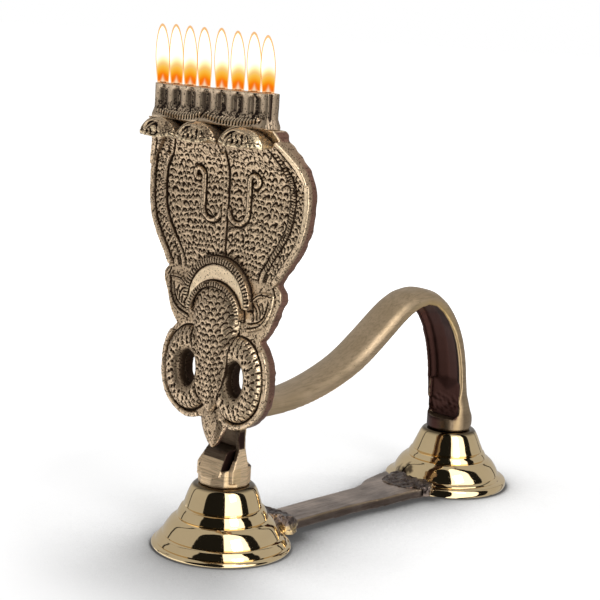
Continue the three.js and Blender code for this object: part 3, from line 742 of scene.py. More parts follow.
MIRROR = PolishedBrass("polished_brass", (0.86, 0.66, 0.38))
SCREW = FiledBrass("screw_brass", bright=(0.6, 0.45, 0.22), dull=(0.42, 0.3, 0.15),
                   roughness=0.3, grain=Grain.ROUND, depth=0.02)


# The cast hood

@dataclass
class HoodLines:
    """Where the hood plate's face and outlines lie."""

    front: float = 5.5
    waist: float = 125.0
    lean: float = 0.038
    curl_start: float = 131.0
    curl_rate: float = 0.0287
    border: float = 2.2
    scale_column: float = 3.9
    ridge: float = 2.0

    def face(self, height: Field) -> Field:
        """How far back the plate's face lies at a height."""
        return (-self.front - self.lean * np.maximum(self.waist - height, 0)
                - self.curl_rate * np.maximum(height - self.curl_start, 0) ** 2)

    def outward(self, height: Field) -> Points:
        """The face's outward direction at each height.

        Args:
            height: The heights to read.

        Returns:
            One unit vector for each height.
        """
        slope = (self.face(height + 0.5) - self.face(height - 0.5))
        way = np.stack([np.zeros_like(slope), -np.ones_like(slope), slope], axis=1)
        return way / np.linalg.norm(way, axis=1, keepdims=True)

    def side(self) -> Points:
        """The hood's right outline, from the neck down to the ear.

        Returns:
            Points across and up.
        """
        return smooth_line([
            (30.2, 146.6), (33.0, 142.4), (36.5, 137.2), (38.2, 132), (38.6, 126), (37.9, 119), (36.2, 113.4),
            (33.4, 108.4), (30.0, 103.6), (26.2, 98.2)], 60)

    def curl(self) -> Points:
        """The line of the right curl, from its loop down the stem and round the hook.

        Returns:
            Points across and up.
        """
        loop = [(13.7 + 2.7 * (0.45 + 0.55 * s) * math.cos(math.pi * (1.6 * s - 0.6)),
                 131.4 + 2.7 * (0.45 + 0.55 * s) * math.sin(math.pi * (1.6 * s - 0.6)))
                for s in np.linspace(0, 1, 22)]
        hook = [(6.4 + 4.6 * math.cos(a), 121 + 4.6 * math.sin(a)) for a in np.linspace(0, -math.pi, 22)]
        return np.array(loop + hook)

    @staticmethod
    def arch(half_width: float, bottom: float, top: float) -> Points:
        """Half an oval that stands on its ends, from left to right."""
        turn = np.linspace(math.pi, 0, 49)
        return np.stack([half_width * np.cos(turn), bottom + (top - bottom) * np.sin(turn)], axis=1)

    @staticmethod
    def body_half_width(height: Field) -> Field:
        """Half the width of the scaled body at each height."""
        return np.interp(height, [50.5, 54, 60, 67, 74, 81, 87.5, 92, 95],
                         [1.6, 4.2, 6.4, 7.6, 9.2, 11.2, 11.4, 9.4, 5])


def scales(across: Field, up: Field, wide: float, high: float, seed: float, wild: float = 1.0) -> Field:
    """Rows of small arched scales, each with a dark cut over its crown.

    Args:
        across: Distance along the rows, in millimetres.
        up: Distance across the rows.
        wide: A scale's width.
        high: The distance between rows.
        seed: Picks the unevenness of the handwork.
        wild: How uneven the handwork is.

    Returns:
        The height above the face, below 0 in the cuts.
    """
    row = np.floor(up / high)
    shifted = across / wide + 0.5 * np.mod(row, 2)
    column = np.floor(shifted)
    jitter = scatter(row, column, seed) - 0.5
    in_x = shifted - column - 0.5 + 0.16 * wild * jitter
    in_z = up / high - row - 0.5 + 0.4 * wild * (scatter(column, row, seed + 3) - 0.5)
    tilt = wild * 0.9 * (scatter(row + 5, column, seed) - 0.5)
    crown = 0.26 - 2.6 * in_x ** 2 + tilt * in_x
    reach = 0.4 + 0.08 * jitter
    cut = np.exp(-(((in_z - crown) / 0.2) ** 2)) * fade(reach + 0.04, reach - 0.06, np.abs(in_x))
    return 0.06 - (0.4 + 0.2 * jitter) * cut


def strokes(along: Field, pitch: float, share: float) -> Field:
    """Evenly spaced cuts across a band: -1 in a cut and 0 on the bars between."""
    phase = np.abs(np.modf(along / pitch + 100)[0] - 0.5)
    return -fade(0.5 * share + 0.1, 0.5 * share - 0.1, phase)


@dataclass
class HoodCarving:
    """All that is cut into the hood's face: its height above the plain casting, in millimetres."""

    lines: HoodLines
    cut: float = 0.45

    def groove(self, distance: Field, width: float = 0.26) -> Field:
        """An incised line."""
        return -self.cut * bump(distance, width)

    @staticmethod
    def pool(dark: Field) -> Field:
        """A shallow dip that the relief reads as dark without a cut: painted shade."""
        return -0.3 * np.clip(dark, 0, 1)

    def hood(self, x: Field, z: Field) -> Field:
        """The hood's border lines, scaled strip, ticked ridge, field of scales, spine and curls.

        Args:
            x: Distance of each point from the middle, in millimetres.
            z: Its height.

        Returns:
            The height above the plain casting.
        """
        lines = self.lines
        wide = np.abs(x)
        off, along, side = nearest(lines.side(), wide, z)
        depth = off * -side
        inner = lines.border + lines.scale_column
        field_edge = inner + lines.ridge
        low, high = 98.6, 145.4
        here = fade(low - 0.6, low + 0.6, z) * fade(high, high - 1.0, z)
        arch_off, _, _ = nearest(lines.arch(15.2, 88.5, 103.4), x, z)
        clear = fade(1.5, 2.0, arch_off) * (np.hypot(x / 15.2, (z - 88.5) / 14.9) > 1)
        wild = 0.8 + 1.4 * fade(134, 141, z)
        height = self.groove(depth - lines.border - 0.1)
        height += self.groove(depth - inner, 0.22)
        height += 1.3 * self.groove(depth - field_edge - 0.3, 0.34)
        strip = fade(lines.border + 0.2, lines.border + 0.5, depth) * fade(inner - 0.1, inner - 0.4, depth)
        height += strip * scales(depth - lines.border, -along - 0.4 * depth, 1.95, 2.05, 1.0, 0.8)
        band = fade(inner + 0.1, inner + 0.4, depth) * fade(field_edge, field_edge - 0.3, depth)
        left_bar = np.where(x < 0, fade(inner + 1.3, inner + 1.0, depth), 1.0)
        height += band * left_bar * 0.4 * strokes(along + 0.3 * depth, 1.22, 0.4)
        curl_off, _, _ = nearest(lines.curl(), wide, z)
        inside = fade(field_edge + 0.5, field_edge + 0.8, depth)
        field = inside * fade(1.7, 2.0, wide) * fade(1.2, 1.6, curl_off)
        spread = 24.0 / np.interp(z, [98, 106, 113, 120, 132, 142], [16.5, 22.0, 26.5, 29.0, 29.6, 26.0])
        bow = 0.012 * (wide - 12) ** 2 * fade(128, 112, z)
        wander = 0.5 * np.sin(0.9 * z + 0.4 * wide) + 0.45 * np.sin(0.5 * x + 0.3 * z)
        height += field * scales(wide * spread * 1.22 + wander, z + bow + 0.5 * wander, 2.7, 2.0, 2.0, wild)
        height += self.groove(curl_off - 1.05, 0.3) * fade(1.5, 2.0, wide)
        height += self.groove(wide - 1.35, 0.26) * fade(99.5, 100.5, z)
        dots = np.hypot(x + 0.3 * np.sin(3 * z), np.mod(z, 2.1) - 1.05)
        height += -0.45 * bump(dots, 0.4) * fade(103, 105, z)
        shadow = self.pool(0.75 * bump(arch_off - 2.1, 1.1) * fade(99, 102, z))
        return (height + shadow) * here * clear * (depth > -0.2)

    def forehead(self, x: Field, z: Field) -> Field:
        """The two hatched arches and the lines beside them.

        Args:
            x: Distance of each point from the middle, in millimetres.
            z: Its height.

        Returns:
            The height above the plain casting.
        """
        height = np.zeros_like(x)
        for half, bottom, top, width, pitch in ((15.2, 88.5, 103.4, 2.3, 1.2), (12.0, 84.5, 95.2, 1.8, 1.15)):
            off, along, _ = nearest(self.lines.arch(half, bottom, top), x, z)
            on = fade(bottom - 1.5, bottom - 0.5, z)
            height += on * fade(0.5 * width, 0.5 * width - 0.3, off) * 0.5 * strokes(along, pitch, 0.42)
            height += on * self.groove(off - 0.5 * width - 0.2, 0.26)
        return height

    def body(self, x: Field, z: Field) -> Field:
        """The scales that run down the body between the loops.

        Args:
            x: Distance of each point from the middle, in millimetres.
            z: Its height.

        Returns:
            The height above the plain casting.
        """
        half = self.lines.body_half_width(z)
        inside = fade(half - 0.2, half - 0.7, np.abs(x)) * fade(52.5, 54, z)
        below = (np.hypot(x / 12.0, np.maximum(z - 84.5, 0) / 10.7) < 0.9) & (z < 95)
        return inside * below * scales(
            x * (9.0 / np.maximum(half, 4.5)) + 0.5 * np.sin(0.35 * z), z - 0.03 * x * x, 2.6, 1.95, 5.0, 0.8)

    def loops(self, x: Field, z: Field) -> Field:
        """The slits that radiate round each hole, and the line inside the rim.

        Args:
            x: Distance of each point from the middle, in millimetres.
            z: Its height.

        Returns:
            The height above the plain casting.
        """
        px, pz = np.abs(x) - 11.75, z - 63.7
        turn = np.arctan2(pz / 15.2, px / 12.2)
        near_reach = np.hypot(3.0 * np.cos(turn), 5.4 * np.sin(turn))
        far_reach = np.hypot(12.2 * np.cos(turn), 15.2 * np.sin(turn))
        share = (np.hypot(px, pz) - near_reach) / (far_reach - near_reach)
        half = self.lines.body_half_width(z)
        here = fade(half + 0.1, half + 0.5, np.abs(x)) * fade(79.5, 78.5, z)
        rows = (share - 0.3) / 0.165
        row = np.floor(rows)
        count = np.array([17, 24, 31, 37])[np.clip(row, 0, 3).astype(int)]
        place = turn / (2 * math.pi) * count + 0.5 * np.mod(row, 2)
        column = np.floor(place)
        jitter = scatter(row, column, 7.0 + np.sign(x)) - 0.5
        in_turn = place - column - 0.5 + 0.2 * jitter
        in_row = rows - row - 0.5 + 0.2 * (scatter(column, row, 9.0) - 0.5)
        slit = np.exp(-((in_turn + 0.3 * in_row ** 2) / 0.16) ** 4) * np.exp(-((in_row / 0.4) ** 4))
        ring = fade(0.27, 0.33, share) * fade(0.99, 0.94, share)
        # Painted shade: a dip in each loop's hole that reads as dark.
        hole = self.pool(fade(0.3, 0.0, share))
        seam = self.groove(half + 0.1 - np.abs(x), 0.3) * fade(50, 52, z) * fade(81, 79, z)
        return here * (-0.5 * ring * slit + self.groove((share - 1.0) * 9.5, 0.35) + hole) + seam

    def ears(self, x: Field, z: Field) -> Field:
        """The leaf's double outline, its veins, and the mark on the knob above it.

        Args:
            x: Distance of each point from the middle, in millimetres.
            z: Its height.

        Returns:
            The height above the plain casting.
        """
        wide = np.abs(x)
        upper = smooth_line([(15.6, 91.4), (19.6, 94.2), (25.0, 94.2)], 10)
        lower = smooth_line([(25.0, 94.2), (23.6, 88.0), (20.4, 83.9), (14.8, 82.0)], 14)
        second = smooth_line([(23.3, 92.4), (22.0, 87.6), (19.3, 84.9), (15.0, 83.6)], 12)
        veins = [smooth_line(line, 8) for line in (
            [(16.6, 90.2), (18.3, 88.6), (18.6, 85.6)], [(18.4, 90.8), (19.9, 88.6), (19.9, 86.4)],
            [(20.4, 91.4), (21.2, 89.6), (21.0, 88.0)], [(16.4, 87.6), (17.2, 86.2), (16.8, 84.8)])]
        height = np.zeros_like(x)
        for line, width in [(upper, 0.3), (lower, 0.32), (second, 0.26), *[(v, 0.26) for v in veins]]:
            height = np.minimum(height, self.groove(nearest(line, wide, z)[0], width))
        knob = smooth_line([(25.0, 97.2), (25.6, 96.0), (26.4, 94.6)], 5)
        return np.minimum(height, self.groove(nearest(knob, wide, z)[0], 0.25)) * (wide > 13.5)

    def tail(self, x: Field, z: Field) -> Field:
        """Fine slanting cuts on the spearhead at the tail's end."""
        hatch = 0.1 * strokes(x + 0.8 * z + 0.4 * np.sin(z), 0.95, 0.3)
        return hatch * fade(38.0, 40.0, z) * fade(51.5, 50, z) * (np.abs(x) < 7)

    def height(self, x: Field, z: Field) -> Field:
        """The whole carving."""
        return (self.hood(x, z) + self.forehead(x, z) + self.body(x, z) + self.loops(x, z)
                + self.ears(x, z) * (z > 80) * (z < 98.4) + self.tail(x, z))


@dataclass
class Hood:
    """The cast cobra plate, its three heads and the row of sockets on top."""

    voxel: float = 0.3
    rail_pitch: float = 7.25
    rail_back: float = 13.1
    rail_bow: float = 1.4
    plate_top: float = 150.2
    rail_height: float = 11.6
    head_pitch: float = 19.8
    head_bottom: float = 144.0

    def plate(self) -> bpy.types.Object:
        """The carved plate.

        Returns:
            The plate.
        """
        lines = HoodLines()
        piece = dense_copy("hood_plate", "hood_plate_cast", self.voxel, 3)
        points, normals = points_of(piece), normals_of(piece)
        plain = (points[:, 1] - lines.face(points[:, 2]) > 4.3) & (normals[:, 1] > 0.8)
        thin_out(piece, plain.astype(float), 195000)
        points, normals = points_of(piece), normals_of(piece)
        out = lines.outward(points[:, 2])
        facing = np.einsum("ij,ij->i", normals, out)
        behind = points[:, 1] - lines.face(points[:, 2])
        front = fade(0.15, 0.5, facing) * fade(1.6, 0.8, behind)
        height = HoodCarving(lines).height(points[:, 0], points[:, 2])
        wear = 0.05 * lumps(points, 5.0, 3) * (behind < 3)
        sides = fade(0.5, 0.2, facing) * fade(0.4, 1.4, behind) * fade(-0.45, -0.15, facing)
        outline = fade(0.5, 0.2, facing) * fade(0.6, 1.6, behind)
        eased = (relaxed(piece, points, 36) - points) * (1, 0, 1) * outline[:, None]
        points = points + out * (height * front + wear)[:, None] + eased
        place_points(piece, points)
        record_relief(piece, 12, 0.2)
        record(piece, "side", sides)
        x, z = points[:, 0], points[:, 2]
        wide = np.abs(x)
        # Painted shade in the cove under the heads and in the loops' holes; the dark in the cuts is patina.
        cove = fade(142, 145, z) * fade(151, 149, z) * front * fade(18, 12, x)
        holes = (np.hypot((wide - 11.75) / 3.3, (z - 63.7) / 5.8) < 1) * (behind > -0.6)
        tail = fade(0.5, 1.5, 40 - z)
        dark = np.clip(fade(-0.06, -0.3, height) * front + 0.5 * cove + 0.85 * holes, 0, 1)
        record(piece, "stain_and_shade", dark * (1 - tail))
        # Painted highlight, kept as glow: on the crest band, on the lip between face and side on the right,
        # and along the right border.
        crest = HoodLines.arch(13.4, 86.5, 99.2)
        bare = fade(2.4, 1.6, nearest(crest, x, z)[0]) * front
        lip = bump(facing - 0.62, 0.3) * fade(4.0, 14.0, x) * fade(1.8, 0.9, behind)
        off, _, _ = nearest(lines.side(), wide, z)
        rim = fade(2.5, 1.8, off) * front * fade(12, 20, x) * fade(106, 128, z)
        record(piece, "glow", np.clip(0.75 * bare + 0.7 * lip + 0.5 * rim, 0, 1))
        record(piece, "sand", 0.25 * (1 - sides) - 0.3 * bare - 0.3 * rim)
        return piece

    def head(self, side: str, place: int) -> bpy.types.Object:
        """One small cobra head, with brows beside a faceted eye.

        Args:
            side: Which head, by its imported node's name.
            place: -1, 0 or 1 from left to right.

        Returns:
            The head.
        """
        piece = dense_copy(f"snake_head_{side}", f"snake_head_{side}_cast", 0.2, 2)
        points, normals = points_of(piece), normals_of(piece)
        px = points[:, 0] - place * self.head_pitch
        low = fade(3.5, 0.0, points[:, 2] - self.head_bottom) * fade(-20, -23, points[:, 1])
        points[:, 2] += 1.7 * fade(3.5, 9.6, np.abs(px)) * low
        pz = points[:, 2] - self.head_bottom - 1.7 * fade(3.5, 9.6, np.abs(px)) * low
        front = fade(0.1, 0.5, 0.5 * normals[:, 2] - normals[:, 1])
        reach = np.hypot(px - 0.8, (pz - 0.6) * 1.3)
        arcs = strokes(reach, 1.75, 0.4) * fade(3.6, 4.0, reach) * fade(9.4, 8.8, reach) * fade(0.5, -1.5, px)
        eye_off = np.hypot(px - 0.2, pz - 2.6)
        ring = -bump(eye_off - 1.9, 0.42) + 0.7 * bump(eye_off, 1.0)
        facets = strokes(px + 0.5 * np.abs(pz - 2.4), 2.2, 0.42)
        facets *= fade(4.4, 3.4, np.abs(px - 1.0)) * fade(4.6, 4.0, pz)
        lip = fade(1.5, 0.9, pz) * fade(9.6, 8.4, np.abs(px))
        cheek = ring if place < 0 else facets * fade(0.9, 1.4, pz)
        height = (0.42 * arcs * fade(0.8, 1.4, pz) + 0.6 * cheek - 0.2 * bump(pz - 1.7, 0.25)) * front
        smooth = (relaxed(piece, points, 16) - points) * (lip * fade(2.2, 1.4, pz))[:, None]
        place_points(piece, points + normals * height[:, None] + smooth)
        record_relief(piece, 10, 0.2)
        record(piece, "stain_and_shade", np.clip(fade(-0.08, -0.35, height), 0, 1) * 0.8)
        # Painted highlight, kept as glow: on the lower lip, on the raised carving and on the right head's
        # shoulder.
        shoulder = fade(4, 8, px) * (place > 0)
        record(piece, "glow", np.clip(0.15 * lip + 0.6 * fade(0.1, 0.4, height) + 0.3 * shoulder, 0, 1))
        record(piece, "sand", 0.5 * fade(3.0, 6.0, px) * (1.0 if place < 1 else 0.4) * (1 - lip))
        return piece

    def sockets(self) -> bpy.types.Object:
        """The eight fused sockets with the rope moulding round their foot.

        Returns:
            The row of sockets.
        """
        piece = dense_copy("wick_rail", "wick_rail_cast", 0.21, 2)
        points, normals = points_of(piece), normals_of(piece)
        x, z = points[:, 0], points[:, 2] - self.plate_top
        middle = self.rail_back + self.rail_bow * (1 - (x / (3.5 * self.rail_pitch)) ** 2)
        forward = -points[:, 1] - middle
        share = np.clip((np.abs(x) - 1.2) / 23, 0, 1)
        rope_line = 3.2 - 6.0 * share * (1 - share)
        on_rope = fade(1.7, 1.2, np.abs(z - rope_line)) * fade(3.0, 3.5, forward)
        on_rope *= fade(25.5, 24.5, np.abs(x))
        twist = strokes(x - 0.45 * (z - rope_line), 1.36, 0.45)
        end_tube = fade(3.6 * self.rail_pitch, 3.9 * self.rail_pitch, x)
        marks = 0.07 * lumps(points * (1, 1, 0.35), 1.6, 8) * end_tube
        front = fade(0.0, 0.5, -normals[:, 1])
        height = 0.42 * twist * on_rope * front
        flute = fade(0.6, 0.95, self.flute_share(x - 0.4)) * (np.abs(x) < 3.4 * self.rail_pitch)
        soft = fade(3.4, 5.0, z) * fade(1.2, 1.8, forward)
        soft *= fade(self.rail_height - 0.2, self.rail_height - 1.2, z)
        push = (0.6 - 0.3 * fade(5.0, 18.0, x)) * flute
        seam = fade(0.72, 0.95, self.flute_share(x - 0.4)) * (np.abs(x) < 3.4 * self.rail_pitch)
        filled = points + (relaxed(piece, points, 40) - points - push[:, None] * (0, 1, 0)) * soft[:, None]
        place_points(piece, filled + normals * (height + marks)[:, None])
        record_relief(piece, 12, 0.3)
        # Painted shade: darker flutes between the sockets, more towards the right, inside the bores and on
        # the end tube's right-facing side; the dark in the cuts is patina.
        face = (z > 3.0) & (z < self.rail_height - 0.3) & (np.abs(forward) > 1.0)
        bore = (z > 2.0) & (z < self.rail_height - 0.2) & (np.abs(forward) < 2.6)
        bore &= (np.abs(normals[:, 2]) < 0.6) & (self.flute_share(x) < 0.75)
        shade_side = 0.5 * end_tube * fade(0.5, 0.9, normals[:, 0])
        flute_shade = (0.2 + 0.5 * fade(8.0, 18.0, x)) * seam * face
        record(piece, "stain_and_shade", np.clip(fade(-0.08, -0.3, height) + flute_shade + 0.7 * bore + shade_side, 0, 1))
        record(piece, "sand", face * np.clip(0.65 * seam + 0.5 * fade(7.0, 4.0, z), 0, 1) * (1 - end_tube))
        return piece

    def flute_share(self, x: Field) -> Field:
        """0 in front of a socket's axis, 1 midway between two sockets."""
        return 2 * np.abs(x / self.rail_pitch - np.floor(x / self.rail_pitch) - 0.5)

    def dress(self) -> list[bpy.types.Object]:
        """Builds, finishes and places every piece of the casting.

        Returns:
            The pieces made.
        """
        cast, rail, shiny = ANTIQUE.material(), ANTIQUE_RAIL.material(), ANTIQUE_HEAD.material()
        made = [(self.plate(), cast), (self.sockets(), rail)]
        places = (("left", -1), ("centre", 0), ("right", 1))
        made += [(self.head(side, place), shiny) for side, place in places]
        for piece, material in made:
            shade(piece)
            piece.data.materials.append(material)
            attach(piece, BODY)
        return [piece for piece, _ in made]


# Leg, handle and bar

@dataclass
class Frame:
    """The filed leg, the arched handle, the tie bar and the solder that joins it to the feet."""

    spacing: float = 130.0
    spring: float = 46.8
    arch: float = 78.6
    inset: float = 6.8
    collar_top: float = 29.7

    def path(self) -> Points:
        """The handle's underside, as y and z.

        Returns:
            Points back and up, from the leg to the rear collar.
        """
        shares = [(0.108, 0), (0.192, 0.013), (0.29, 0.075), (0.388, 0.186), (0.486, 0.352), (0.582, 0.601),
                  (0.672, 0.855), (0.731, 0.972), (0.782, 1), (0.836, 0.925), (0.894, 0.686), (0.931, 0.403),
                  (0.955, 0.025), (0.957, -0.258)]
        rise = self.arch - self.spring
        points = [(2.8, self.spring)] + [(a * self.spacing, self.spring + r * rise) for a, r in shares]
        rear = self.spacing - self.inset
        return smooth_line(points + [(rear, self.collar_top + 3.5), (rear, self.collar_top - 1.6)], 140)

    def handle(self) -> bpy.types.Object:
        """The crescent handle, with shade painted inside its channel, on its left edges and on the collar's
        turned-away side, and a highlight painted on its right edges and right side near the crown.

        Returns:
            The handle.
        """
        piece = dense_copy("handle", "handle_arch", 0.5, 6)
        points, normals = points_of(piece), normals_of(piece)
        path = self.path()
        off, along, side = nearest(path, points[:, 1], points[:, 2])
        lift = off * side
        whole = float(np.sum(np.hypot(*np.diff(path, axis=0).T)))
        wide = np.abs(points[:, 0])
        inward = self.facing_in(path, points, normals)
        x, y, z = points.T
        foot = fade(self.collar_top - 2.0, self.collar_top + 1.0, z) * (y < self.spacing)
        inside = fade(7.9, 7.2, wide) * fade(4.4, 3.6, lift) * fade(-0.6, 0.1, lift) * fade(0.1, 0.4, inward)
        pocket = fade(8.0, 7.4, wide) * fade(0.3, 0.6, -normals[:, 1])
        pocket *= (y > self.spacing - 9.0) & (y < self.spacing - 3) & (z < 44)
        pool = fade(39, 33, z) * (0.4 + 0.6 * (lumps(points, 3.0, 5) > 0))
        rough = inside * foot * fade(40, 33, z) * lumps(points, 2.6, 9)
        eased = (relaxed(piece, points, 30) - points) * fade(0.0, -0.5, inward)[:, None]
        place_points(piece, points + normals * (0.4 * rough)[:, None] + eased)
        edges = fade(6.6, 7.2, wide) * fade(0.2, 0.6, inward)
        left = edges * (x < 0) * fade(0.6 * whole, 0.68 * whole, along)
        # Painted shade inside the channel and its pocket, on the left edges and on the collar's side turned
        # from the light; darker towards the rear end and in lumpy patches low in the channel.
        turned_away = fade(-0.1, 0.7, -normals[:, 0] * 0.736 - normals[:, 1] * 0.677)
        collar = (0.15 + 0.65 * turned_away) * fade(33, 30, z) + 0.2 * fade(0.7 * whole, 0.8 * whole, along)
        channel = (inside * 0.96 + pocket + 0.9 * left) * foot
        record(piece, "stain_and_shade", np.clip(channel + 0.2 * pool * inside + collar, 0, 1))
        # Painted highlight, kept as glow: on the right edges and on the right side near the crown.
        lip = edges * (x > 0)
        crown = bump(along - 0.66 * whole, 0.1 * whole) * fade(0.0, 0.5, inward + 0.3) * fade(6.2, 7.4, x)
        record(piece, "glow", np.clip(0.8 * crown + 0.4 * lip, 0, 1))
        return piece

    def facing_in(self, path: Points, points: Points, normals: Points) -> Field:
        """How far each normal points towards the inner side of the arch.

        Args:
            path: The handle's underside.
            points: The handle's vertices.
            normals: Their normals.

        Returns:
            1 where it looks inwards and -1 where it looks out.
        """
        steps = np.gradient(path, axis=0)
        nearest_step = np.argmin(
            np.hypot(points[:, 1, None] - path[None, :, 0], points[:, 2, None] - path[None, :, 1]), axis=1)
        way = steps[nearest_step]
        way = way / np.linalg.norm(way, axis=1, keepdims=True)
        return normals[:, 1] * way[:, 1] - normals[:, 2] * way[:, 0]

    def leg(self) -> bpy.types.Object:
        """The filed collar and the channel above it, with shade painted in the channel, its slots and under
        its roof, and a highlight painted on the collar's right corner.

        Returns:
            The leg.
        """
        piece = dense_copy("front_leg", "front_leg_filed", 0.26, 2)
        points, normals = points_of(piece), normals_of(piece)
        wide, (_, y, z) = np.abs(points[:, 0]), points.T
        slot = fade(5.0, 5.3, wide) * fade(7.3, 6.9, wide) * fade(-7.5, -6.6, y) * fade(28.4, 29.4, z)
        roof = (normals[:, 2] > 0.35) & (z > 33)
        deep = (wide < 7.3) & (y > -6.6) & (y < 2.0) & (z > 35.6) & (z < 50) | roof
        wall = fade(0.3, 0.7, np.abs(normals[:, 0])) * (wide < 7.0) * (z > 29.5) * (y < 2.0)
        front = fade(0.3, 0.7, -normals[:, 1])
        marks = 0.07 * lumps(points * (0.12, 0.3, 1.0), 1.1, 6) * front
        place_points(piece, points + normals * marks[:, None])
        # Painted shade in the slots, deep in the channel, under the roof and on the channel's walls.
        record(piece, "stain_and_shade", np.clip(0.85 * (slot * (1 - front) + deep + 0.8 * wall), 0, 1))
        # Painted highlight, kept as glow, on the collar's right corner.
        corner = fade(6.3, 7.0, points[:, 0]) * fade(0.5, 0.8, normals[:, 0])
        record(piece, "glow", 0.35 * corner * (z < 30.5) * (y < -1))
        return piece

    def bar(self) -> bpy.types.Object:
        """The flat tie bar with its worn edges, shade painted low on one side and a highlight painted along
        that side's top.

        Returns:
            The bar.
        """
        piece = dense_copy("tie_bar", "tie_bar_flat", 0.4, 3)
        points, normals = points_of(piece), normals_of(piece)
        wave = 0.07 * lumps(points * (1, 0.3, 1), 7.0, 11) * (points[:, 2] > 1)
        place_points(piece, points + normals * wave[:, None])
        sides = fade(0.3, 0.8, normals[:, 0])
        patch = fade(0.1, 0.8, lumps(points * (1, 0.5, 1), 9.0, 12)) * fade(0.5, 0.9, normals[:, 2])
        # Painted shade on the lower part of the side that faces +x; the patches on top are stains.
        record(piece, "stain_and_shade", np.clip(0.72 * sides * fade(4.3, 2.6, points[:, 2]) + 0.25 * patch, 0, 1))
        # Painted highlight, kept as glow, along the top of that side.
        record(piece, "glow", 0.35 * sides * fade(2.8, 3.8, points[:, 2]))
        return piece

    def solder(self, end: str) -> bpy.types.Object:
        """The lumpy run of solder at one end of the bar.

        Args:
            end: front or rear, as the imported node's name has it.

        Returns:
            The run of solder.
        """
        piece = dense_copy(f"{end}_solder", f"{end}_solder_run", 0.3, 8)
        points, normals = points_of(piece), normals_of(piece)
        points[:, 2] -= (0.0 if end == "front" else 0.45) * np.maximum(points[:, 2] - 3.4, 0)
        free = fade(1.0, 3.0, points[:, 2])
        heap = 0.8 * lumps(points, 8.0, 21) + 0.16 * lumps(points, 3.2, 22)
        heap += 0.05 * lumps(points, 1.2, 23) - 0.3
        place_points(piece, points + normals * (heap * free)[:, None])
        record_relief(piece, 14, 0.9)
        x, _, z = points.T
        near_edge = fade(4.5, 7.5, x) * fade(5.2, 3.4, z) * (1.0 if end == "front" else 0.0)
        record(piece, "side", np.clip(near_edge * (0.4 + 0.8 * (lumps(points, 2.0, 24) > -0.1)), 0, 1))
        record(piece, "stain_and_shade", np.clip(0.5 * fade(0.0, 0.9, lumps(points, 5.0, 25)), 0, 1))
        record(piece, "sand", np.full(len(points), -0.4))
        return piece

    def dress(self) -> list[bpy.types.Object]:
        """Builds, finishes and places every piece of the frame.

        Returns:
            The pieces made.
        """
        solder = SOLDER.material()
        made = [
            (self.leg(), FILED_LEG.material(), "filed_brass"),
            (self.handle(), SATIN.material(), "satin_brass"),
            (self.bar(), DULL_BAR.material(), "dull_brass"),
            (self.solder("front"), solder, "solder"),
            (self.solder("rear"), solder, "solder"),
        ]
        for piece, material, slot in made:
            shade(piece)
            piece.data.materials.append(material)
            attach(piece, BODY)
        return [piece for piece, _, _ in made]


# Feet

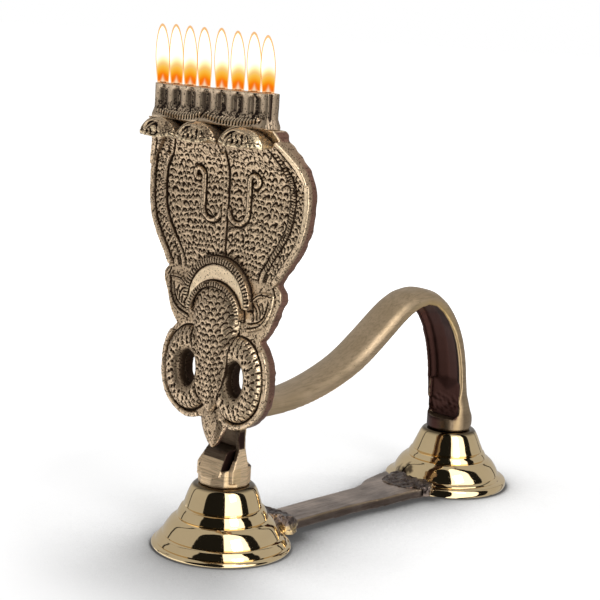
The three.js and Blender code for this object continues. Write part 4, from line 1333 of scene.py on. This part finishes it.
@dataclass
class Feet:
    """The two turned bells and the screws that hold them."""

    spacing: float = 130.0
    radius: float = 25.0
    height: float = 23.1
    crown: float = 9.9
    wall: float = 1.7
    sides: int = 200

    def front_skin(self) -> list[list[tuple[float, float]]]:
        """The front bell's outline from crown to rim, in runs that meet in crisp rings.

        Returns:
            Runs of radius and height.
        """
        top, edge = self.height, self.radius
        return [
            [(self.crown - 0.4, top), (10.4, 22.9), (11.4, 22.0), (12.3, 20.3), (13.1, 18.1), (13.7, 16.2),
             (14, 15.1)],
            [(13.8, 14.75), (14.1, 14.5)],
            [(14.9, 14.3), (15.5, 13.3), (16.0, 12.2), (16.35, 11.3)],
            [(16.0, 10.95), (16.3, 10.75)],
            [(17.1, 10.5), (18.5, 9.4), (19.8, 7.7), (20.8, 6.0), (21.3, 4.95)],
            [(21.1, 4.65), (21.4, 4.45)],
            [(22.1, 4.1), (22.9, 3.2), (23.7, 2.1)],
            [(23.55, 1.8), (23.9, 1.6)],
            [(24.5, 1.4), (edge - 0.1, 1.0), (edge, 0.5), (edge - 0.4, 0)]]

    def rear_skin(self) -> list[list[tuple[float, float]]]:
        """The rear bell's outline from crown to rim, in runs that meet in crisp rings.

        Returns:
            Runs of radius and height.
        """
        top, edge = self.height, self.radius
        return [
            [(self.crown - 0.4, top), (10.4, 22.9), (11.3, 21.9), (12.3, 19.9), (13.4, 17.3), (14.2, 15.5),
             (14.6, 14.5)],
            [(14.35, 14.1), (14.6, 13.85)],
            [(15.2, 13.7), (15.8, 12.8), (16.3, 11.7)],
            [(16.1, 11.4), (16.4, 11.2)],
            [(17.4, 11.0), (19.2, 9.4), (20.8, 7.0), (21.6, 5.1)],
            [(21.5, 4.6), (21.9, 4.3)],
            [(22.6, 3.9), (22.7, 3.5)],
            [(23.6, 3.3), (24.6, 2.8), (edge, 2.0), (edge, 0.8), (edge - 0.4, 0)]]

    def hollow(self) -> list[tuple[float, float]]:
        """The bell's inside, from the rim up to the screw's hole.

        Returns:
            Points of radius and height.
        """
        roof = self.height - self.wall
        return [
            (self.radius - 0.5 - self.wall, 0), (self.radius - 1.5 - self.wall, 1.6), (20.4 - self.wall, 4.8),
            (15.6 - self.wall, 10.8), (11.4 - self.wall, 18.4), (6.2, roof), (2.3, roof), (2.3, self.height)]

    def bell(self, name: str, runs: list[list[tuple[float, float]]], y: float) -> bpy.types.Object:
        """One bell, each run of its profile a smooth curve.

        Args:
            name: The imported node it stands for.
            runs: Runs of radius and height from the crown down to the rim.
            y: Where its axis stands.

        Returns:
            The bell.
        """
        section = [smooth_line(run, 5 * len(run)) if len(run) > 2 else np.array(run) for run in runs]
        profile = np.vstack([self.hollow(), *section])
        piece = new_piece(f"{name}_bell", turned(profile, (0.0, y), self.sides))
        points = points_of(piece)
        across, back, height = points[:, 0], points[:, 1] - y, points[:, 2]
        reach = np.hypot(across, back)
        inside = np.interp(height, [0, 4.8, 10.8, 18.4, 21.4], [22.9, 18.8, 14.0, 9.8, 6.2]) + 0.3
        # Painted shade inside the bell and in a ring round the crown under the collar; on the rear bell,
        # burnt patches.
        dark = (reach < inside) * 0.75 + 0.85 * fade(11.6, 10.7, reach) * (height > 20)
        if y > 0:
            for middle, size in (((-4.4, -20.2, 7.2), 2.2), ((-8.6, -20.6, 3.6), 3.6)):
                off = np.linalg.norm(np.stack([across, back, height], axis=1) - middle, axis=1)
                ragged = off + 1.5 * lumps(points, 4.0, 31)
                dark = dark + 0.85 * fade(size + 1.4, size - 0.6, ragged) * (reach > inside)
        record(piece, "stain_and_shade", np.clip(dark, 0, 1))
        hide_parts(name)
        return piece

    def dress(self) -> list[bpy.types.Object]:
        """Builds and finishes the bells, and dresses the screws and washers.

        Returns:
            The bells.
        """
        mirror, screw = MIRROR.material(), SCREW.material()
        bells = [self.bell("front_foot", self.front_skin(), 0.0),
                 self.bell("rear_foot", self.rear_skin(), self.spacing)]
        for piece in bells:
            shade(piece, 40)
            piece.data.materials.append(mirror)
            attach(piece, BODY)
        for node in ("front_foot_screw", "rear_foot_screw", "front_foot_washer", "rear_foot_washer"):
            for place in frame["nodes"][node].material_slots:
                place.material = screw
        return bells


# Wicks and flames

@dataclass
class Wicks:
    """Eight twisted wicks and their flames."""

    count: int = 8
    pitch: float = 7.25
    back: float = 13.1
    bow: float = 1.4
    rim: float = 161.8
    bottom: float = 152.8
    top: float = 167.2
    radius: float = 1.9
    flame_heights: tuple[float, ...] = (19.9, 20.0, 19.8, 19.6, 19.7, 19.1, 19.1, 18.3)
    flame_shifts: tuple[float, ...] = (-0.75, -0.35, -0.2, -0.2, 0.75, 0.95, 0.7, -0.9)
    flame_half_width: float = 2.5
    flame_lean: tuple[float, float] = (-0.7, -0.64)
    level: tuple[float, float] = (0.736, 0.677)
    film: float = 0.3

    def place(self, index: int) -> tuple[float, float]:
        """The axis of one socket."""
        share = 2 * index / (self.count - 1) - 1
        return share * self.pitch * (self.count - 1) / 2, -self.back - self.bow * (1 - share ** 2)

    def wick(self, index: int) -> bpy.types.Object:
        """One wick: three strands twisted together, thin and singed at the tip.

        Args:
            index: Which socket, from 0 at the left.

        Returns:
            The wick.
        """
        x, y = self.place(index)
        steps, around = 72, 24
        rings = np.zeros((steps + 1, around, 3))
        for step in range(steps + 1):
            share = step / steps
            height = self.bottom + 0.1 + (self.top - self.bottom - 0.2) * share
            free = min(1.0, max(0.0, (share - 0.3) / 0.3))
            size = self.radius * (1 - 0.4 * free - 0.35 * max(0.0, (share - 0.6) / 0.4))
            turn = 2 * math.pi * np.arange(around) / around
            lobe = 0.84 + 0.16 * np.abs(np.cos(1.5 * (turn - 7.0 * share - index))) ** 0.7
            bend = self.flame_shifts[index] * free
            rings[step] = np.stack([
                x + bend + size * lobe * np.cos(turn),
                y + size * lobe * np.sin(turn),
                np.full(around, height)], axis=1)
        piece = new_piece(f"wick_{index + 1}_cotton", skin(rings, closed_row=False, caps=True))
        height = points_of(piece)[:, 2]
        record(piece, "singed", fade(self.top - 4.2, self.top - 1.4, height))
        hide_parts(f"wick_{index + 1}")
        return piece

    def flame(self, index: int, name: str, spare: float) -> bpy.types.Object:
        """A pointed oval that stands on the socket's rim.

        Args:
            index: Which socket.
            name: The piece's name.
            spare: How far it stays inside the flame's outline.

        Returns:
            The flame.
        """
        x, y = self.place(index)
        steps, around = 44, 32
        tall = self.flame_heights[index]
        rings = np.zeros((steps + 1, around, 3))
        for step in range(steps + 1):
            share = 0.5 - 0.5 * math.cos(math.pi * step / steps)
            low = 1 - 0.2 * max(0.0, (0.45 - share) / 0.45) ** 1.7
            high = math.sqrt(max(0.0, 1 - max(0.0, (share - 0.4) / 0.6) ** 1.9))
            size = max(self.flame_half_width * low * high - spare, 0.02)
            up = spare * (1 - share) + share * (tall - 2.6 * spare)
            turn = 2 * math.pi * np.arange(around) / around
            rings[step] = np.stack([
                x + self.flame_shifts[index] + self.flame_lean[0] * share + size * np.cos(turn),
                y + self.flame_lean[1] * share + size * np.sin(turn),
                np.full(around, self.rim + 0.12 + up)], axis=1)
        piece = new_piece(name, skin(rings, closed_row=False, caps=True))
        height = (points_of(piece)[:, 2] - self.rim) / tall
        across = (points_of(piece)[:, :2] - (x + self.flame_shifts[index], y)) @ np.array(self.level)
        rounding = 0.11 * (across / self.flame_half_width) ** 2
        record(piece, "height", height + rounding * fade(0.0, 0.1, height))
        record(piece, "core", bump(across, 0.25 + 0.5 * fade(0.12, 0.0, height)) * fade(0.17, 0.05, height))
        return piece

    def dress(self) -> list[bpy.types.Object]:
        """Builds every wick and flame.

        Returns:
            The pieces made.
        """
        cotton = Cotton("cotton").material()
        light, film = FlameLight("flame_light").material(), FlameEdge("flame_edge").material()
        made = []
        for index in range(self.count):
            pieces = [(self.wick(index), cotton), (self.flame(index, f"flame_{index + 1}", self.film), light),
                      (self.flame(index, f"flame_{index + 1}_edge", 0.0), film)]
            for piece, material in pieces:
                shade(piece)
                piece.data.materials.append(material)
                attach(piece, f"wick_{index + 1}")
                made.append(piece)
        return made


# Studio

@dataclass
class Studio:
    """The pale floor, the soft lights and the camera.

    A pane is a light or dark patch of the room, seen only in the metal: the two bearings between which it
    stands, its top in degrees above the horizon, how far its corners drop, and its brightness.
    """

    eye: tuple[float, float, float] = (0.37393, -0.43750, 0.18446)
    yaw: float = 0.74333
    pitch: float = 0.17706
    roll: float = 0.05719
    focal_pixels: float = 1543.6
    frame_pixels: float = 600.0
    floor_glow: float = 0.42
    shadow_reach: float = 0.08
    shadow_depth: float = 0.13
    aim: tuple[float, float, float] = (0.0, 0.0, 0.08)
    top_place: tuple[float, float, float] = (-0.14, 0.16, 0.95)
    top_size: tuple[float, float] = (0.36, 0.36)
    top_power: float = 8.4
    window_place: tuple[float, float, float] = (0.74, -0.2, 0.55)
    window_size: tuple[float, float] = (0.28, 0.4)
    window_power: float = 3.2
    plain: float = 0.2
    room: float = 0.5
    panes: tuple[tuple[float, ...], ...] = (
        (-181.0, -105.0, -6.0, 0.0, 1.4), (-103.0, -36.0, 78.0, 12.0, 0.012), (-38.0, 15.0, 80.0, 10.0, 2.1),
        (14.0, 36.0, 78.0, 12.0, 0.012), (-166.0, -162.0, 80.0, 5.0, 0.02), (84.0, 87.5, 80.0, 5.0, 0.02))

    def camera(self) -> None:
        """The camera at the photograph's viewing angle."""
        look = Vector((-math.sin(self.yaw) * math.cos(self.pitch), math.cos(self.yaw) * math.cos(self.pitch),
                       -math.sin(self.pitch)))
        level = Vector((math.cos(self.yaw), math.sin(self.yaw), 0))
        rise = level.cross(look)
        right = math.cos(self.roll) * level + math.sin(self.roll) * rise
        up = -math.sin(self.roll) * level + math.cos(self.roll) * rise
        data = bpy.data.cameras.new("camera")
        data.sensor_width = 36.0
        data.lens = 36.0 * self.focal_pixels / self.frame_pixels
        data.clip_start, data.clip_end = 0.01, 60.0
        camera = bpy.data.objects.new("camera", data)
        camera.matrix_world = Matrix((
            (right.x, up.x, -look.x, self.eye[0]), (right.y, up.y, -look.y, self.eye[1]),
            (right.z, up.z, -look.z, self.eye[2]), (0, 0, 0, 1)))
        bpy.context.scene.collection.objects.link(camera)
        bpy.context.scene.camera = camera

    def lamp(self, name: str, place: Colour, target: Colour, size: tuple[float, float], power: float,
             mirrored: bool) -> None:
        """A soft rectangular light that looks at a point, mirrored in the metal or not.

        Args:
            name: The lamp's name.
            place: Where it hangs, in metres.
            target: The point it looks at.
            size: Its width and height.
            power: Its power in watts.
            mirrored: Whether the metal mirrors it.
        """
        data = bpy.data.lights.new(name, "AREA")
        data.shape = "RECTANGLE"
        data.size, data.size_y = size
        data.energy = power
        light = bpy.data.objects.new(name, data)
        light.location = place
        light.visible_glossy = mirrored
        light.rotation_euler = (Vector(target) - Vector(place)).to_track_quat("-Z", "Y").to_euler()
        bpy.context.scene.collection.objects.link(light)

    def floor(self) -> None:
        """A wide pale floor that keeps the lamp's shadow, has a soft shadow painted round the object from
        ambient occlusion, and is white in the distance.
        """
        mesh = bpy.data.meshes.new("floor")
        reach = 14.0
        mesh.from_pydata([(-reach, -reach, 0), (reach, -reach, 0), (reach, reach, 0), (-reach, reach, 0)], [],
                         [(0, 1, 2, 3)])
        piece = new_piece("floor", mesh)
        piece.location.z = -0.0002
        piece.visible_glossy = False
        sheet = Sheet("pale_floor")
        # Painted shadow: ambient occlusion darkens the floor's colour and its glow near the object.
        near_by = sheet.add("AmbientOcclusion", {"Distance": self.shadow_reach}).outputs["AO"]
        open_share = sheet.add("MapRange", {
            "Value": near_by, "From Min": 0.66, "From Max": 0.96,
            "To Min": self.shadow_depth, "To Max": 1.0}).outputs[0]
        grey = sheet.blend(open_share, (0.0, 0.0, 0.0), (0.5, 0.5, 0.5))
        matte = sheet.add("BsdfDiffuse", {"Color": grey})
        rays = sheet.add("LightPath")
        seen = sheet.sums("MAXIMUM", rays.outputs["Is Camera Ray"], rays.outputs["Is Transmission Ray"])
        far = sheet.add("VectorMath", {0: sheet.place}, operation="LENGTH").outputs["Value"]
        glow = sheet.add("MapRange", {
            "Value": far, "From Min": 0.12, "From Max": 0.5,
            "To Min": self.floor_glow, "To Max": 1.1}).outputs[0]
        glow = sheet.sums("MULTIPLY", glow, open_share)
        light = sheet.add("Emission", {"Color": (1, 1, 1, 1), "Strength": sheet.sums("MULTIPLY", seen, glow)})
        both = sheet.add("AddShader", {0: matte.outputs[0], 1: light.outputs[0]})
        mesh.materials.append(sheet.finish(both.outputs[0]))

    def world(self) -> None:
        """White behind the lamp, plain light on the floor, and a room with one window for the metal."""
        world = bpy.data.worlds.new("studio")
        world.use_nodes = True
        tree = world.node_tree
        tree.nodes.clear()

        def math_node(kind: str, *values: Reading) -> Socket:
            """One arithmetic step on sockets or numbers.

            Args:
                kind: The operation.
                values: What it works on.

            Returns:
                The result.
            """
            node = tree.nodes.new("ShaderNodeMath")
            node.operation = kind
            for number, value in enumerate(values):
                if isinstance(value, Socket):
                    tree.links.new(value, node.inputs[number])
                else:
                    node.inputs[number].default_value = value
            return node.outputs[0]

        def step(value: Socket, low: float, high: float) -> Socket:
            """0 before low and 1 after high, or the other way round.

            Args:
                value: The value to read.
                low: Where the result is 0.
                high: Where it is 1.

            Returns:
                The value's share of the way.
            """
            node = tree.nodes.new("ShaderNodeMapRange")
            tree.links.new(value, node.inputs["Value"])
            node.inputs["From Min"].default_value = low
            node.inputs["From Max"].default_value = high
            return node.outputs[0]

        def between(value: Socket, low: float, high: float, soft: float) -> Socket:
            """1 between low and high with soft edges."""
            rising, falling = step(value, low - soft, low + soft), step(value, high + soft, high - soft)
            return math_node("MULTIPLY", rising, falling)

        way = tree.nodes.new("ShaderNodeSeparateXYZ")
        tree.links.new(tree.nodes.new("ShaderNodeTexCoord").outputs["Generated"], way.inputs[0])
        x, y, z = way.outputs
        turn = math_node("MULTIPLY", math_node("ARCTAN2", y, x), 180 / math.pi)
        rise = math_node("MULTIPLY", math_node("ARCSINE", z), 180 / math.pi)
        tone: Reading = self.room
        for low, high, top, corner, value in self.panes:
            middle, half = (low + high) / 2, (high - low) / 2
            aside = math_node("ABSOLUTE", math_node("SUBTRACT", turn, middle))
            drop = math_node("MULTIPLY", math_node("POWER", math_node("DIVIDE", aside, half), 4.0), corner)
            under = step(math_node("SUBTRACT", top, math_node("ADD", drop, rise)), -0.8, 0.8)
            inside = math_node("MULTIPLY", between(turn, low, high, 0.7), under)
            node = tree.nodes.new("ShaderNodeMix")
            tree.links.new(inside, node.inputs[0])
            if isinstance(tone, float):
                node.inputs[2].default_value = tone
            else:
                tree.links.new(tone, node.inputs[2])
            node.inputs[3].default_value = value
            tone = node.outputs[0]
        rays = tree.nodes.new("ShaderNodeLightPath")
        metal = tree.nodes.new("ShaderNodeMix")
        metal.inputs[2].default_value = self.plain
        tree.links.new(rays.outputs["Is Glossy Ray"], metal.inputs[0])
        tree.links.new(tone, metal.inputs[3])
        seen = math_node("MAXIMUM", rays.outputs["Is Camera Ray"], rays.outputs["Is Transmission Ray"])
        mixed = tree.nodes.new("ShaderNodeMix")
        tree.links.new(seen, mixed.inputs[0])
        tree.links.new(metal.outputs[0], mixed.inputs[2])
        mixed.inputs[3].default_value = 1.0
        light = tree.nodes.new("ShaderNodeBackground")
        light.inputs["Color"].default_value = (1, 1, 1, 1)
        tree.links.new(mixed.outputs[0], light.inputs["Strength"])
        out = tree.nodes.new("ShaderNodeOutputWorld")
        tree.links.new(light.outputs[0], out.inputs["Surface"])
        bpy.context.scene.world = world

    def dress(self) -> None:
        """Sets up the camera, the world, the floor and the lamps."""
        self.camera()
        self.world()
        self.floor()
        self.lamp("top", self.top_place, self.aim, self.top_size, self.top_power, False)
        self.lamp("window", self.window_place, self.aim, self.window_size, self.window_power, True)
        bpy.context.scene.view_settings.view_transform = "Standard"


def main() -> None:
    """Builds the lamp's looks in order and reports each piece."""
    logging.basicConfig(level=logging.INFO, format="%(message)s")
    for group in (Hood(), Frame(), Feet(), Wicks()):
        for piece in group.dress():
            LOG.info("%s: %d faces", piece.name, len(piece.data.polygons))
    Studio().dress()


if __name__ == "__main__":
    main()
